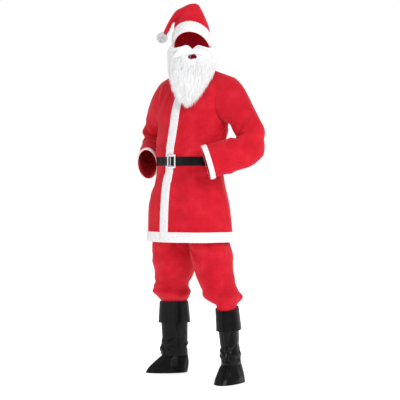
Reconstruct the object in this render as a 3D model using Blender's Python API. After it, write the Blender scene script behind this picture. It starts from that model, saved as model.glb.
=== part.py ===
"""A santa suit in its worn form: jacket, belt, trousers, boot covers, hat and beard.

Metres, +Z up. The suit faces -Y and its left side is +X. The tables give heights above
the floor, and place() moves every piece so that the origin lies between the shoulders.
Every cloth piece is a thin wall between two offsets of a grid of points. A grid's rows
run up and its columns run anticlockwise seen from above.
"""
import math
from collections import namedtuple

import bmesh
import bpy
import numpy as np
from mathutils import Quaternion, Vector

# Driving dimensions
ORIGIN_HEIGHT = 1.50
SEAM_GAP = 0.0003
JACKET_CLOTH = 0.0025
TROUSER_CLOTH = 0.0020
HAT_CLOTH = 0.0020
BOOT_CLOTH = 0.0015
PLUSH = 0.0035
BELT_CLOTH = 0.0020

UNDERARM_HEIGHT = 1.285
SIDE_SEAM_ANGLE = 100.0
HEM_STRIP_HEIGHT = 0.048
FRONT_STRIP_WIDTH = 0.050
CLOSURE_OFFSET = -0.018
CUFF_STRIP_WIDTH = 0.024
BELT_LOW = 1.077
BELT_HIGH = 1.119
BELT_WRAP_COLUMNS = 2
BUCKLE_WIDTH = 0.050
BUCKLE_HEIGHT = 0.066
BUCKLE_BAR = 0.009
BUCKLE_DEPTH = 0.003

CROTCH_HEIGHT = 0.785
TROUSER_WAIST = 0.985
WAISTBAND_HEIGHT = 0.036
BOOT_TOP = 0.411
BOOT_CUFF_LOW = 0.305
ANKLE_SEAM = 0.138
BOOT_LOW = 0.055

HEAD_TURN = 39.0
BODY_GIRTH = 1.10
ARM_GIRTH = 0.44
LEG_GIRTH = 0.58
BOOT_GIRTH = 0.34
BAND_PLUSH = 0.009
BAND_EDGE_SHARE = 0.8
POMPOM_RADIUS = 0.019
POMPOM_LOCK = 0.009

# The jacket's rings: an ellipse at each height
BodyRing = namedtuple("BodyRing", "height centre_y half_width half_depth")
BODY_RINGS = (
    BodyRing(0.715, -0.014, 0.220, 0.182),
    BodyRing(0.800, -0.020, 0.219, 0.174),
    BodyRing(0.900, -0.026, 0.212, 0.162),
    BodyRing(1.000, -0.017, 0.176, 0.156),
    BodyRing(1.055, -0.018, 0.171, 0.136),
    BodyRing(1.098, -0.018, 0.170, 0.135),
    BodyRing(1.150, -0.012, 0.180, 0.137),
    BodyRing(1.200, -0.005, 0.186, 0.132),
    BodyRing(1.285, 0.010, 0.190, 0.126),
)

# Soft folds of the jacket's body: a segment in height and angle, its width and its rise
Crease = namedtuple("Crease", "low low_angle high high_angle width rise")
BODY_FOLDS = (
    Crease(0.70, -158, 1.01, -150, 0.028, 0.007),
    Crease(0.70, -122, 0.98, -112, 0.024, -0.006),
    Crease(0.70, -88, 1.00, -80, 0.026, 0.007),
    Crease(0.72, -60, 0.97, -56, 0.022, -0.005),
    Crease(0.70, -36, 0.95, -34, 0.024, 0.004),
    Crease(0.70, 22, 0.98, 16, 0.026, -0.005),
    Crease(0.70, 46, 1.02, 34, 0.026, 0.006),
    Crease(0.70, 74, 0.99, 62, 0.022, -0.006),
    Crease(0.70, 102, 1.00, 92, 0.028, 0.007),
    Crease(0.70, 134, 0.98, 128, 0.024, -0.006),
    Crease(0.70, 168, 1.00, 163, 0.026, 0.006),
    Crease(1.135, -70, 1.165, -28, 0.016, 0.006),
    Crease(1.140, 24, 1.175, 66, 0.016, 0.006),
    Crease(1.150, 110, 1.140, 170, 0.016, 0.006),
    Crease(1.145, -165, 1.165, -112, 0.015, 0.005),
    Crease(1.19, 62, 1.27, 84, 0.018, -0.005),
    Crease(1.18, -64, 1.27, -84, 0.018, -0.005),
)

# Points of the left armhole and neckline; the right side mirrors them
ARMHOLE_TOP = (0.205, 0.050, 1.500)
ARMHOLE_FRONT = (0.172, -0.045, 1.385)
ARMHOLE_BACK = (0.182, 0.120, 1.390)
NECK_SIDE = (0.085, 0.030, 1.545)
NECK_FRONT = (0.0, -0.035, 1.470)
NECK_BACK = (0.0, 0.098, 1.540)
CHEST_MIDDLE = (0.0, -0.088, 1.380)
BACK_MIDDLE = (0.0, 0.146, 1.415)
NECK_SHARE = 0.45
YOKE_ROWS = 10

# Each arm: its shoulder, the corner where its two straight lines meet, and its cuff
Arm = namedtuple("Arm", "shoulder elbow cuff side")
LEFT_ARM = Arm((0.190, 0.040, 1.430), (0.374, 0.030, 1.164), (0.192, -0.140, 1.090), 1)
RIGHT_ARM = Arm((-0.197, 0.040, 1.430), (-0.335, 0.135, 1.198), (-0.214, -0.080, 1.087), -1)
ELBOW_BEND = 0.076
SLEEVE_START = 0.155
SLEEVE_COLUMNS = 20
SLEEVE_LEAVE = (0.90, 0.0, -0.43)
SLEEVE_PULL = 0.8
SLEEVE_BEND_FROM = 0.20
SLEEVE_BEND_TO = 0.35
ARMHOLE_GAP = 0.0004
ArmRing = namedtuple("ArmRing", "share tall flat")
ARM_RINGS = {
    1: (
        ArmRing(0.00, 0.080, 0.080),
        ArmRing(0.28, 0.069, 0.070),
        ArmRing(0.45, 0.068, 0.064),
        ArmRing(0.60, 0.076, 0.057),
        ArmRing(0.80, 0.078, 0.052),
        ArmRing(1.00, 0.077, 0.046),
    ),
    -1: (
        ArmRing(0.00, 0.086, 0.080),
        ArmRing(0.30, 0.078, 0.074),
        ArmRing(0.50, 0.067, 0.064),
        ArmRing(0.65, 0.064, 0.061),
        ArmRing(0.80, 0.070, 0.058),
        ArmRing(1.00, 0.076, 0.046),
    ),
}
# Sleeve creases run in metres along the arm and degrees round it, 0 at the top
SLEEVE_CREASES = {
    1: (
        Crease(0.18, 60, 0.24, 120, 0.013, -0.007),
        Crease(0.21, 50, 0.25, 100, 0.012, 0.006),
        Crease(0.26, -70, 0.30, 20, 0.014, -0.006),
        Crease(0.31, -60, 0.33, 40, 0.013, 0.006),
        Crease(0.36, 100, 0.40, 170, 0.014, -0.006),
        Crease(0.40, -150, 0.44, -60, 0.014, 0.005),
    ),
    -1: (
        Crease(0.17, 70, 0.23, 130, 0.013, -0.007),
        Crease(0.21, 40, 0.25, 95, 0.012, 0.006),
        Crease(0.27, -80, 0.31, 10, 0.014, -0.006),
        Crease(0.33, -50, 0.35, 40, 0.013, 0.005),
        Crease(0.37, 90, 0.41, 160, 0.014, -0.006),
        Crease(0.41, -160, 0.44, -70, 0.014, 0.005),
    ),
}

# Trousers above the crotch: one ellipse that splits into two legs on the way down
HipRing = namedtuple("HipRing", "height centre_y side depth")
HIP_RINGS = (
    HipRing(0.785, -0.008, 0.188, 0.110),
    HipRing(0.830, -0.008, 0.186, 0.116),
    HipRing(0.880, -0.008, 0.180, 0.118),
    HipRing(0.940, -0.006, 0.163, 0.114),
    HipRing(1.025, 0.000, 0.148, 0.108),
)
# Trouser legs below the crotch; x is measured outwards and turn is the foot's toe-out
LegRing = namedtuple("LegRing", "height x y half_width half_depth turn")
LEFT_LEG = (
    LegRing(0.350, 0.212, 0.004, 0.036, 0.056, 14),
    LegRing(0.400, 0.2075, 0.003, 0.0463, 0.0664, 14.5),
    LegRing(0.418, 0.206, 0.002, 0.047, 0.066, 14),
    LegRing(0.436, 0.194, 0.000, 0.076, 0.080, 12),
    LegRing(0.458, 0.185, 0.000, 0.088, 0.086, 10),
    LegRing(0.490, 0.168, 0.000, 0.087, 0.088, 8),
    LegRing(0.560, 0.136, 0.000, 0.091, 0.095, 5),
    LegRing(0.650, 0.116, 0.002, 0.100, 0.104, 2),
    LegRing(0.720, 0.103, -0.008, 0.096, 0.108, 1),
    LegRing(0.785, 0.0942, -0.008, 0.0938, 0.110, 0),
)
RIGHT_LEG = (
    LegRing(0.350, 0.169, 0.074, 0.036, 0.056, 35),
    LegRing(0.400, 0.1645, 0.067, 0.0455, 0.0655, 35.5),
    LegRing(0.416, 0.1635, 0.066, 0.047, 0.066, 35),
    LegRing(0.434, 0.163, 0.060, 0.075, 0.079, 29),
    LegRing(0.452, 0.167, 0.056, 0.084, 0.087, 24),
    LegRing(0.480, 0.172, 0.053, 0.083, 0.086, 20),
    LegRing(0.560, 0.140, 0.040, 0.096, 0.100, 12),
    LegRing(0.650, 0.122, 0.014, 0.103, 0.107, 6),
    LegRing(0.720, 0.106, -0.008, 0.097, 0.108, 2),
    LegRing(0.785, 0.0942, -0.008, 0.0938, 0.110, 0),
)
# Trouser folds: height, angle round the leg with 0 outside, 90 in front and -90 behind
LEG_FOLDS = (
    Crease(0.44, 20, 0.47, 80, 0.013, 0.008),
    Crease(0.47, 100, 0.45, 165, 0.012, 0.008),
    Crease(0.50, 30, 0.52, 95, 0.012, -0.007),
    Crease(0.455, -20, 0.47, -90, 0.013, 0.008),
    Crease(0.475, -100, 0.445, -170, 0.012, 0.007),
    Crease(0.51, -30, 0.50, -110, 0.013, -0.007),
    Crease(0.55, 60, 0.60, 140, 0.016, -0.006),
    Crease(0.58, 20, 0.63, 70, 0.016, 0.006),
    Crease(0.56, -50, 0.61, -130, 0.016, -0.006),
    Crease(0.66, 100, 0.72, 150, 0.018, -0.006),
)
PANEL_COLUMNS = 8

# Boot covers: centre line, toe-out and the drop of the front of the rim
Boot = namedtuple("Boot", "top_x top_y ankle_x ankle_y turn front_drop top side")
LEFT_BOOT = Boot(0.207, 0.003, 0.232, 0.007, 14.5, 0.010, 0.403, 1)
RIGHT_BOOT = Boot(-0.1637, 0.066, -0.195, 0.115, 35.5, 0.0, 0.411, -1)
BootRing = namedtuple("BootRing", "height front back half_width")
SHAFT_RINGS = (
    BootRing(0.138, 0.069, 0.064, 0.045),
    BootRing(0.172, 0.078, 0.064, 0.045),
    BootRing(0.206, 0.065, 0.064, 0.043),
    BootRing(0.250, 0.064, 0.065, 0.043),
    BootRing(0.310, 0.0665, 0.067, 0.045),
    BootRing(0.411, 0.070, 0.070, 0.050),
)
CUFF_RINGS = (
    BootRing(0.305, 0.080, 0.080, 0.057),
    BootRing(0.360, 0.076, 0.076, 0.054),
    BootRing(0.411, 0.0718, 0.0718, 0.0518),
)
SPAT_RINGS = (
    BootRing(0.055, 0.152, 0.060, 0.066),
    BootRing(0.080, 0.136, 0.066, 0.062),
    BootRing(0.105, 0.109, 0.068, 0.055),
    BootRing(0.138, 0.069, 0.064, 0.045),
)
BOOT_COLUMNS = 18
BOOT_SEAM_RISE = 0.0025
BOOT_CREASES = (
    Crease(0.150, -70, 0.185, -20, 0.010, -0.005),
    Crease(0.185, 15, 0.165, 75, 0.010, -0.005),
    Crease(0.205, -60, 0.215, 30, 0.010, 0.004),
    Crease(0.160, 120, 0.180, 200, 0.010, -0.004),
    Crease(0.240, 100, 0.225, 170, 0.012, -0.003),
)

# Hat crown: the far point and the fold-side point of each section, in its fold plane
HatSection = namedtuple("HatSection", "far_side far_height near_side near_height half_depth drop back")
HAT_SECTIONS = (
    HatSection(-0.086, 1.629, 0.086, 1.654, 0.103, 0.69, 0.000),
    HatSection(-0.089, 1.685, 0.087, 1.708, 0.101, 0.67, 0.026),
    HatSection(-0.085, 1.734, 0.087, 1.744, 0.094, 0.52, 0.026),
    HatSection(-0.067, 1.785, 0.085, 1.762, 0.082, 0.36, 0.022),
    HatSection(-0.049, 1.825, 0.083, 1.768, 0.071, 0.24, 0.016),
    HatSection(-0.028, 1.856, 0.083, 1.7715, 0.060, 0.14, 0.010),
    HatSection(0.010, 1.858, 0.0845, 1.773, 0.049, 0.06, 0.005),
    HatSection(0.046, 1.842, 0.087, 1.772, 0.040, 0.0, 0.0),
    HatSection(0.076, 1.826, 0.090, 1.768, 0.033, 0.0, 0.0),
    HatSection(0.098, 1.797, 0.0965, 1.757, 0.027, 0.0, -0.004),
    HatSection(0.121, 1.757, 0.107, 1.733, 0.021, 0.0, -0.008),
    HatSection(0.137, 1.722, 0.121, 1.709, 0.014, 0.0, -0.010),
)
FOLD_PLANE_TURN = 38.0
HAT_COLUMNS = 10
POMPOM_CENTRE = (-0.1141, -0.0885, 1.6951)

# Beard rings: a half ellipse set forward of the head's middle and turned with the head
BeardRing = namedtuple("BeardRing", "height half_width reach forward turn")
BEARD_RINGS = (
    BeardRing(1.345, 0.072, 0.060, 0.0550, 27),
    BeardRing(1.440, 0.100, 0.066, 0.0588, 30),
    BeardRing(1.500, 0.108, 0.078, 0.0474, 34),
    BeardRing(1.560, 0.108, 0.100, 0.020, 38),
    BeardRing(1.610, 0.104, 0.112, 0.002, HEAD_TURN),
    BeardRing(1.655, 0.098, 0.104, 0.000, HEAD_TURN),
)
# Its edges by angle round the face
BeardEdge = namedtuple("BeardEdge", "angle top bottom")
BEARD_EDGES = (
    BeardEdge(0, 1.628, 1.375),
    BeardEdge(12, 1.646, 1.385),
    BeardEdge(30, 1.642, 1.415),
    BeardEdge(50, 1.638, 1.486),
    BeardEdge(68, 1.645, 1.562),
    BeardEdge(84, 1.6555, 1.606),
)
BEARD_COLUMNS = 28
BEARD_ROWS = 11
BEARD_BACKING = 0.005
BEARD_LOCK = 0.011
BEARD_TIP = 0.020
MOUTH_ROW = 1
MOUTH_COLUMNS = (12, 13, 14, 15)
# Moustache: the middle line, half height and thickness of its two lobes by angle
MoustacheRing = namedtuple("MoustacheRing", "angle height half_height thickness")
MOUSTACHE_RINGS = (
    MoustacheRing(0, 1.613, 0.010, 0.005),
    MoustacheRing(13, 1.622, 0.020, 0.014),
    MoustacheRing(27, 1.614, 0.018, 0.013),
    MoustacheRing(40, 1.600, 0.012, 0.009),
    MoustacheRing(50, 1.590, 0.005, 0.004),
)
MOUSTACHE_COLUMNS = 24
MOUSTACHE_ROWS = 7
MOUSTACHE_SEAT = 0.0141


def sample(table, key):
    """Read a table at any value of its first column, along a smooth curve through its rows."""
    rows = np.array(table, dtype=float)
    keys = rows[:, 0]
    values = rows[:, 1:]
    slopes = np.gradient(values, keys, axis=0)
    key = min(max(key, keys[0]), keys[-1])
    first = min(int(np.searchsorted(keys, key, side="right")) - 1, len(keys) - 2)
    span = keys[first + 1] - keys[first]
    t = (key - keys[first]) / span
    rise = values[first + 1] - values[first]
    curve_in = span * slopes[first] - rise
    curve_out = rise - span * slopes[first + 1]
    return values[first] + t * rise + t * (1 - t) * ((1 - t) * curve_in + t * curve_out)


def steps(start, end, count):
    """Evenly spaced values from start up to, but not including, end."""
    return list(np.linspace(start, end, count, endpoint=False))


def smooth_share(t):
    """A share from 0 to 1 that starts and ends level."""
    return t * t * (3 - 2 * t)


def unit(vector):
    """The vector at length one."""
    vector = np.array(vector, dtype=float)
    return vector / np.linalg.norm(vector)


def compass(degrees):
    """Horizontal direction at an angle from the front, positive to the suit's left."""
    angle = math.radians(degrees)
    return np.array((math.sin(angle), -math.cos(angle), 0.0))


def relief(along, angle, girth, creases):
    """Rise of the cloth at a point, from creases given as segments with soft sides and ends."""
    metres_per_degree = girth / 360
    total = 0.0
    for crease in creases:
        turn = (angle - crease.low_angle + 180) % 360 - 180
        point = np.array((along - crease.low, turn * metres_per_degree))
        sweep = (crease.high_angle - crease.low_angle) * metres_per_degree
        segment = np.array((crease.high - crease.low, sweep))
        share = min(max(point @ segment / (segment @ segment), 0.0), 1.0)
        offset = point - share * segment
        total += crease.rise * math.exp(-(offset @ offset) / crease.width ** 2)
    return total


def grid_normals(points, around=False):
    """Unit normals of a grid, facing out where columns run anticlockwise and rows run up."""
    if around:
        across = np.roll(points, -1, axis=1) - np.roll(points, 1, axis=1)
    else:
        across = np.gradient(points, axis=1)
    up = np.gradient(points, axis=0)
    normals = np.cross(across, up)
    return normals / np.linalg.norm(normals, axis=2, keepdims=True)


def drawn_back(points, edges, amount=SEAM_GAP / 2):
    """Move the named edges of a grid back from their seam lines, along the surface."""
    moved = points.copy()
    for edge in edges:
        if edge == "first_column":
            inward = points[:, 1] - points[:, 0]
        elif edge == "last_column":
            inward = points[:, -2] - points[:, -1]
        elif edge == "first_row":
            inward = points[1] - points[0]
        else:
            inward = points[-2] - points[-1]
        inward = inward / np.linalg.norm(inward, axis=1, keepdims=True) * amount
        if edge == "first_column":
            moved[:, 0] += inward
        elif edge == "last_column":
            moved[:, -1] += inward
        elif edge == "first_row":
            moved[0] += inward
        else:
            moved[-1] += inward
    return moved


def material(name, colour, roughness, metallic=0.0):
    """A plain Principled material."""
    made = bpy.data.materials.new(name)
    made.use_nodes = True
    shader = made.node_tree.nodes["Principled BSDF"]
    shader.inputs["Base Color"].default_value = (*colour, 1.0)
    shader.inputs["Roughness"].default_value = roughness
    shader.inputs["Metallic"].default_value = metallic
    made.diffuse_color = (*colour, 1.0)
    return made


def place(name, mesh_data, made_of):
    """Turn a bmesh into a named object with its material, moved to the shared origin."""
    bmesh.ops.translate(mesh_data, verts=mesh_data.verts, vec=(0.0, 0.0, -ORIGIN_HEIGHT))
    mesh = bpy.data.meshes.new(name)
    mesh_data.to_mesh(mesh)
    mesh_data.free()
    mesh.shade_smooth()
    mesh.set_sharp_from_angle(angle=math.radians(50))
    mesh.materials.append(made_of)
    thing = bpy.data.objects.new(name, mesh)
    bpy.context.scene.collection.objects.link(thing)
    return thing


def wall(name, points, normals, inner, outer, made_of, around=False, holes=()):
    """A closed sheet between two offsets along a grid's normals, with rims round every edge."""
    rows, columns = points.shape[:2]
    inner = np.broadcast_to(np.asarray(inner, dtype=float), (rows, columns))[..., None]
    outer = np.broadcast_to(np.asarray(outer, dtype=float), (rows, columns))[..., None]
    data = bmesh.new()
    inside = [[data.verts.new(p) for p in row] for row in points + normals * inner]
    outside = [[data.verts.new(p) for p in row] for row in points + normals * outer]
    partner = {}
    for r in range(rows):
        for c in range(columns):
            partner[outside[r][c]] = inside[r][c]
    outer_faces = []
    for r in range(rows - 1):
        for c in range(columns if around else columns - 1):
            if (r, c) in holes:
                continue
            d = (c + 1) % columns
            for side in (outside, inside):
                a, b = side[r][c], side[r][d]
                e, f = side[r + 1][d], side[r + 1][c]
                faces = [data.faces.new((a, b, e)), data.faces.new((a, e, f))]
                if side is outside:
                    outer_faces += faces
                else:
                    bmesh.ops.reverse_faces(data, faces=faces)
    rims = [e for e in data.edges if len(e.link_faces) == 1 and e.verts[0] in partner]
    for edge in rims:
        a, b = edge.verts
        data.faces.new((a, b, partner[b]))
        data.faces.new((a, partner[b], partner[a]))
    loose = [v for v in data.verts if not v.link_faces]
    bmesh.ops.delete(data, geom=loose, context="VERTS")
    bmesh.ops.recalc_face_normals(data, faces=data.faces)
    return place(name, data, made_of)


# Jacket
def body_point(angle, height):
    """Outer face of the jacket below the underarm, at an angle from the front."""
    centre_y, half_width, half_depth = sample(BODY_RINGS, height)
    turn = math.radians(angle)
    point = np.array((half_width * math.sin(turn), centre_y - half_depth * math.cos(turn), height))
    return point + compass(angle) * relief(height, angle, BODY_GIRTH, BODY_FOLDS)


def three_point_curve(start, middle, end, t):
    """The parabola through three points, at a share t of the way."""
    start, middle, end = (np.array(p) for p in (start, middle, end))
    return start * (1 - t) * (1 - 2 * t) + middle * 4 * t * (1 - t) + end * t * (2 * t - 1)


def armhole_point(angle):
    """The left armhole: 0 at the shoulder, 90 in front, 180 under the arm, 270 behind."""
    top, front, back = (np.array(p) for p in (ARMHOLE_TOP, ARMHOLE_FRONT, ARMHOLE_BACK))
    bottom = body_point(SIDE_SEAM_ANGLE, UNDERARM_HEIGHT)
    turn = math.radians(angle)
    middle = (top + bottom + front + back) / 4
    pinch = (top + bottom - front - back) / 4
    return (
        middle
        + (top - bottom) / 2 * math.cos(turn)
        + (front - back) / 2 * math.sin(turn)
        + pinch * math.cos(2 * turn)
    )


def neck_curve(share, middle_point):
    """The neckline from its middle point to the neck's side point."""
    turn = math.radians(90 * share)
    side = np.array(NECK_SIDE)
    middle = np.array(middle_point)
    reach = side - middle
    return middle + np.array((reach[0] * math.sin(turn), *(reach[1:] * (1 - math.cos(turn)))))


def top_edge(share, middle_point):
    """Neckline and then shoulder line, from the middle of the body to the armhole."""
    if share <= NECK_SHARE:
        return neck_curve(share / NECK_SHARE, middle_point)
    along = (share - NECK_SHARE) / (1 - NECK_SHARE)
    return np.array(NECK_SIDE) * (1 - along) + np.array(ARMHOLE_TOP) * along


def yoke_point(share, rise, front):
    """Outer face above the underarm: share runs from the middle to the armhole, rise runs up."""
    mirror = -1 if share < 0 else 1
    share = abs(share)
    if front:
        angle, neck, middle = SIDE_SEAM_ANGLE * share, NECK_FRONT, CHEST_MIDDLE
        centre_bottom, edge = body_point(0, UNDERARM_HEIGHT), armhole_point(180 - 180 * rise)
    else:
        angle = 180 - (180 - SIDE_SEAM_ANGLE) * share
        neck, middle = NECK_BACK, BACK_MIDDLE
        centre_bottom, edge = body_point(180, UNDERARM_HEIGHT), armhole_point(180 + 180 * rise)
    centre_bottom[0] = 0.0
    lift = smooth_share(rise)
    pull = smooth_share(share)
    corner_low, corner_high = armhole_point(180), armhole_point(0)
    centre = three_point_curve(centre_bottom, middle, neck, rise)
    point = (1 - lift) * body_point(angle, UNDERARM_HEIGHT) + lift * top_edge(share, neck)
    point += (1 - pull) * (centre - (1 - lift) * centre_bottom - lift * np.array(neck))
    point += pull * (edge - (1 - lift) * corner_low - lift * corner_high)
    point[0] *= mirror
    return point


def front_shares(row):
    """Column places along one row of the two fronts, with columns at the front strip's edges."""
    pace = np.linalg.norm(row(0.02) - row(-0.02)) / 0.04
    right_edge = (CLOSURE_OFFSET - FRONT_STRIP_WIDTH / 2) / pace
    left_edge = (CLOSURE_OFFSET + FRONT_STRIP_WIDTH / 2) / pace
    return (
        steps(-1, -NECK_SHARE, 5)
        + steps(-NECK_SHARE, right_edge, 3)
        + [right_edge, CLOSURE_OFFSET / pace, left_edge]
        + steps(left_edge, NECK_SHARE, 4)[1:]
        + steps(NECK_SHARE, 1, 5)
        + [1]
    )


STRIP_RIGHT_COLUMN = 8
CLOSURE_COLUMN = 9
STRIP_LEFT_COLUMN = 10
BACK_SHARES = steps(1, NECK_SHARE, 5) + steps(NECK_SHARE, -NECK_SHARE, 6) + steps(-NECK_SHARE, -1, 5) + [-1]
BODY_HEIGHTS = (
    0.715, 0.715 + HEM_STRIP_HEIGHT, 0.830, 0.900, 0.955, 1.010, 1.050, BELT_LOW, BELT_HIGH,
    1.142, 1.168, 1.225, UNDERARM_HEIGHT,
)
HEM_STRIP_ROWS = 2
BELT_ROW = 7


def jacket_grids():
    """Points and normals of the front and the back, sharing points at the side and shoulder seams."""
    front, back = [], []
    for height in BODY_HEIGHTS:
        def ring(share, height=height):
            return body_point(SIDE_SEAM_ANGLE * share, height)
        front.append([ring(s) for s in front_shares(ring)])
        back.append([body_point(180 - (180 - SIDE_SEAM_ANGLE) * s, height) for s in BACK_SHARES])
    for step in range(1, YOKE_ROWS + 1):
        def yoke(share, rise=step / YOKE_ROWS):
            return yoke_point(share, rise, True)
        front.append([yoke(s) for s in front_shares(yoke)])
        back.append([yoke_point(s, step / YOKE_ROWS, False) for s in BACK_SHARES])
    front, back = np.array(front), np.array(back)
    front_normals, back_normals = grid_normals(front), grid_normals(back)
    below = len(BODY_HEIGHTS)
    shoulder = 6
    pairs = [
        (front_normals[:below, -1], back_normals[:below, 0]),
        (front_normals[:below, 0], back_normals[:below, -1]),
        (front_normals[-1, -shoulder:], back_normals[-1, :shoulder][::-1]),
        (front_normals[-1, :shoulder], back_normals[-1, -shoulder:][::-1]),
    ]
    for one, other in pairs:
        shared = one + other
        shared = shared / np.linalg.norm(shared, axis=1, keepdims=True)
        one[:] = shared
        other[:] = shared
    return front, front_normals, back, back_normals


def build_jacket_body(felt, plush):
    """The two fronts, the back, the front strip and the hem strip."""
    front, front_normals, back, back_normals = jacket_grids()
    cut = CLOSURE_COLUMN
    right = drawn_back(front[:, : cut + 1], ("first_column", "last_column", "last_row"))
    wall("jacket_right_front", right, front_normals[:, : cut + 1], -JACKET_CLOTH, 0, felt)
    left = drawn_back(front[:, cut:], ("first_column", "last_column", "last_row"))
    wall("jacket_left_front", left, front_normals[:, cut:], -JACKET_CLOTH, 0, felt)
    rear = drawn_back(back, ("first_column", "last_column", "last_row"))
    wall("jacket_back", rear, back_normals, -JACKET_CLOTH, 0, felt)

    columns = slice(STRIP_RIGHT_COLUMN, STRIP_LEFT_COLUMN + 1)
    wall("front_strip", front[:, columns], front_normals[:, columns], SEAM_GAP, SEAM_GAP + PLUSH, plush)

    rows = slice(0, HEM_STRIP_ROWS)
    parts = (front[rows, STRIP_LEFT_COLUMN:-1], back[rows], front[rows, 1 : STRIP_RIGHT_COLUMN + 1])
    hem = drawn_back(np.concatenate(parts, axis=1), ("first_column", "last_column"), SEAM_GAP)
    parts = (
        front_normals[rows, STRIP_LEFT_COLUMN:-1],
        back_normals[rows],
        front_normals[rows, 1 : STRIP_RIGHT_COLUMN + 1],
    )
    wall("hem_strip", hem, np.concatenate(parts, axis=1), SEAM_GAP, SEAM_GAP + PLUSH, plush)
    return front, front_normals, back, back_normals


def build_belt(grids, leather, metal):
    """The strap, made from the jacket's points at belt height, and the buckle frame on it."""
    front, front_normals, back, back_normals = grids
    rows = slice(BELT_ROW, BELT_ROW + 2)
    ring = np.concatenate((front[rows, :-1], back[rows, :-1]), axis=1)
    ring_normals = np.concatenate((front_normals[rows, :-1], back_normals[rows, :-1]), axis=1)
    start = STRIP_LEFT_COLUMN + 1
    count = ring.shape[1]
    wraps = BELT_WRAP_COLUMNS
    order = [(start + k) % count for k in range(count + wraps + 1)]
    strap = ring[:, order]
    normals = ring_normals[:, order]
    base = np.full(len(order), 2 * SEAM_GAP)
    over_strip = 2 * SEAM_GAP + PLUSH
    for k, column in enumerate(order):
        if STRIP_RIGHT_COLUMN <= column <= STRIP_LEFT_COLUMN:
            base[k] = over_strip
    on_top = BELT_CLOTH + SEAM_GAP
    base[-wraps - 2] = max(base[-wraps - 2], over_strip)
    base[-wraps - 1 :] += on_top
    wall("belt_strap", strap, normals, base, base + BELT_CLOTH, leather)

    # The buckle follows the strap's outer face, with its bars above and below the strap
    low, high = BELT_ROW, BELT_ROW + 1
    right, left = STRIP_RIGHT_COLUMN, STRIP_LEFT_COLUMN + 1
    line = (front[low, right : left + 1] + front[high, right : left + 1]) / 2
    line_normals = front_normals[low, right : left + 1] + front_normals[high, right : left + 1]
    line_normals = line_normals / np.linalg.norm(line_normals, axis=1, keepdims=True)
    line_normals[:, 2] = 0.0
    outer = over_strip + BELT_CLOTH + 3 * SEAM_GAP
    half = BUCKLE_WIDTH / 2
    offsets = [-half, -half + BUCKLE_BAR, 0.0, half - BUCKLE_BAR, half]
    middle_height = (BELT_LOW + BELT_HIGH) / 2
    half_height = BUCKLE_HEIGHT / 2
    heights = [-half_height, -half_height + BUCKLE_BAR, half_height - BUCKLE_BAR, half_height]
    places, facings = [], []
    for x in offsets:
        point = np.array([np.interp(x, line[:, 0], line[:, axis]) for axis in range(3)])
        facing = np.array([np.interp(x, line[:, 0], line_normals[:, axis]) for axis in range(3)])
        places.append(point)
        facings.append(unit(facing))
    grid = np.array([[(p[0], p[1], middle_height + h) for p in places] for h in heights])
    facing_grid = np.array([facings for _ in heights])
    hole = {(1, 1), (1, 2)}
    wall("belt_buckle", grid, facing_grid, outer, outer + BUCKLE_DEPTH, metal, holes=hole)


def arm_route(arm):
    """A function of the distance along the arm, giving the centre and the turn of its bend."""
    shoulder, elbow, cuff = (np.array(p) for p in (arm.shoulder, arm.elbow, arm.cuff))
    upper, lower = unit(elbow - shoulder), unit(cuff - elbow)
    bend = math.acos(upper @ lower)
    setback = ELBOW_BEND * math.tan(bend / 2)
    first = np.linalg.norm(elbow - shoulder) - setback
    arc = ELBOW_BEND * bend
    last = np.linalg.norm(cuff - elbow) - setback
    inward = unit(lower - (lower @ upper) * upper)
    pivot = elbow - upper * setback + inward * ELBOW_BEND
    hinge = np.cross(upper, inward)

    def at(distance):
        if distance <= first:
            return shoulder + upper * distance, 0.0
        if distance >= first + arc:
            return elbow + lower * (setback + distance - first - arc), bend
        turn = (distance - first) / ELBOW_BEND
        return pivot + ELBOW_BEND * (upper * math.sin(turn) - inward * math.cos(turn)), turn

    return at, first + arc + last, upper, hinge


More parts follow.
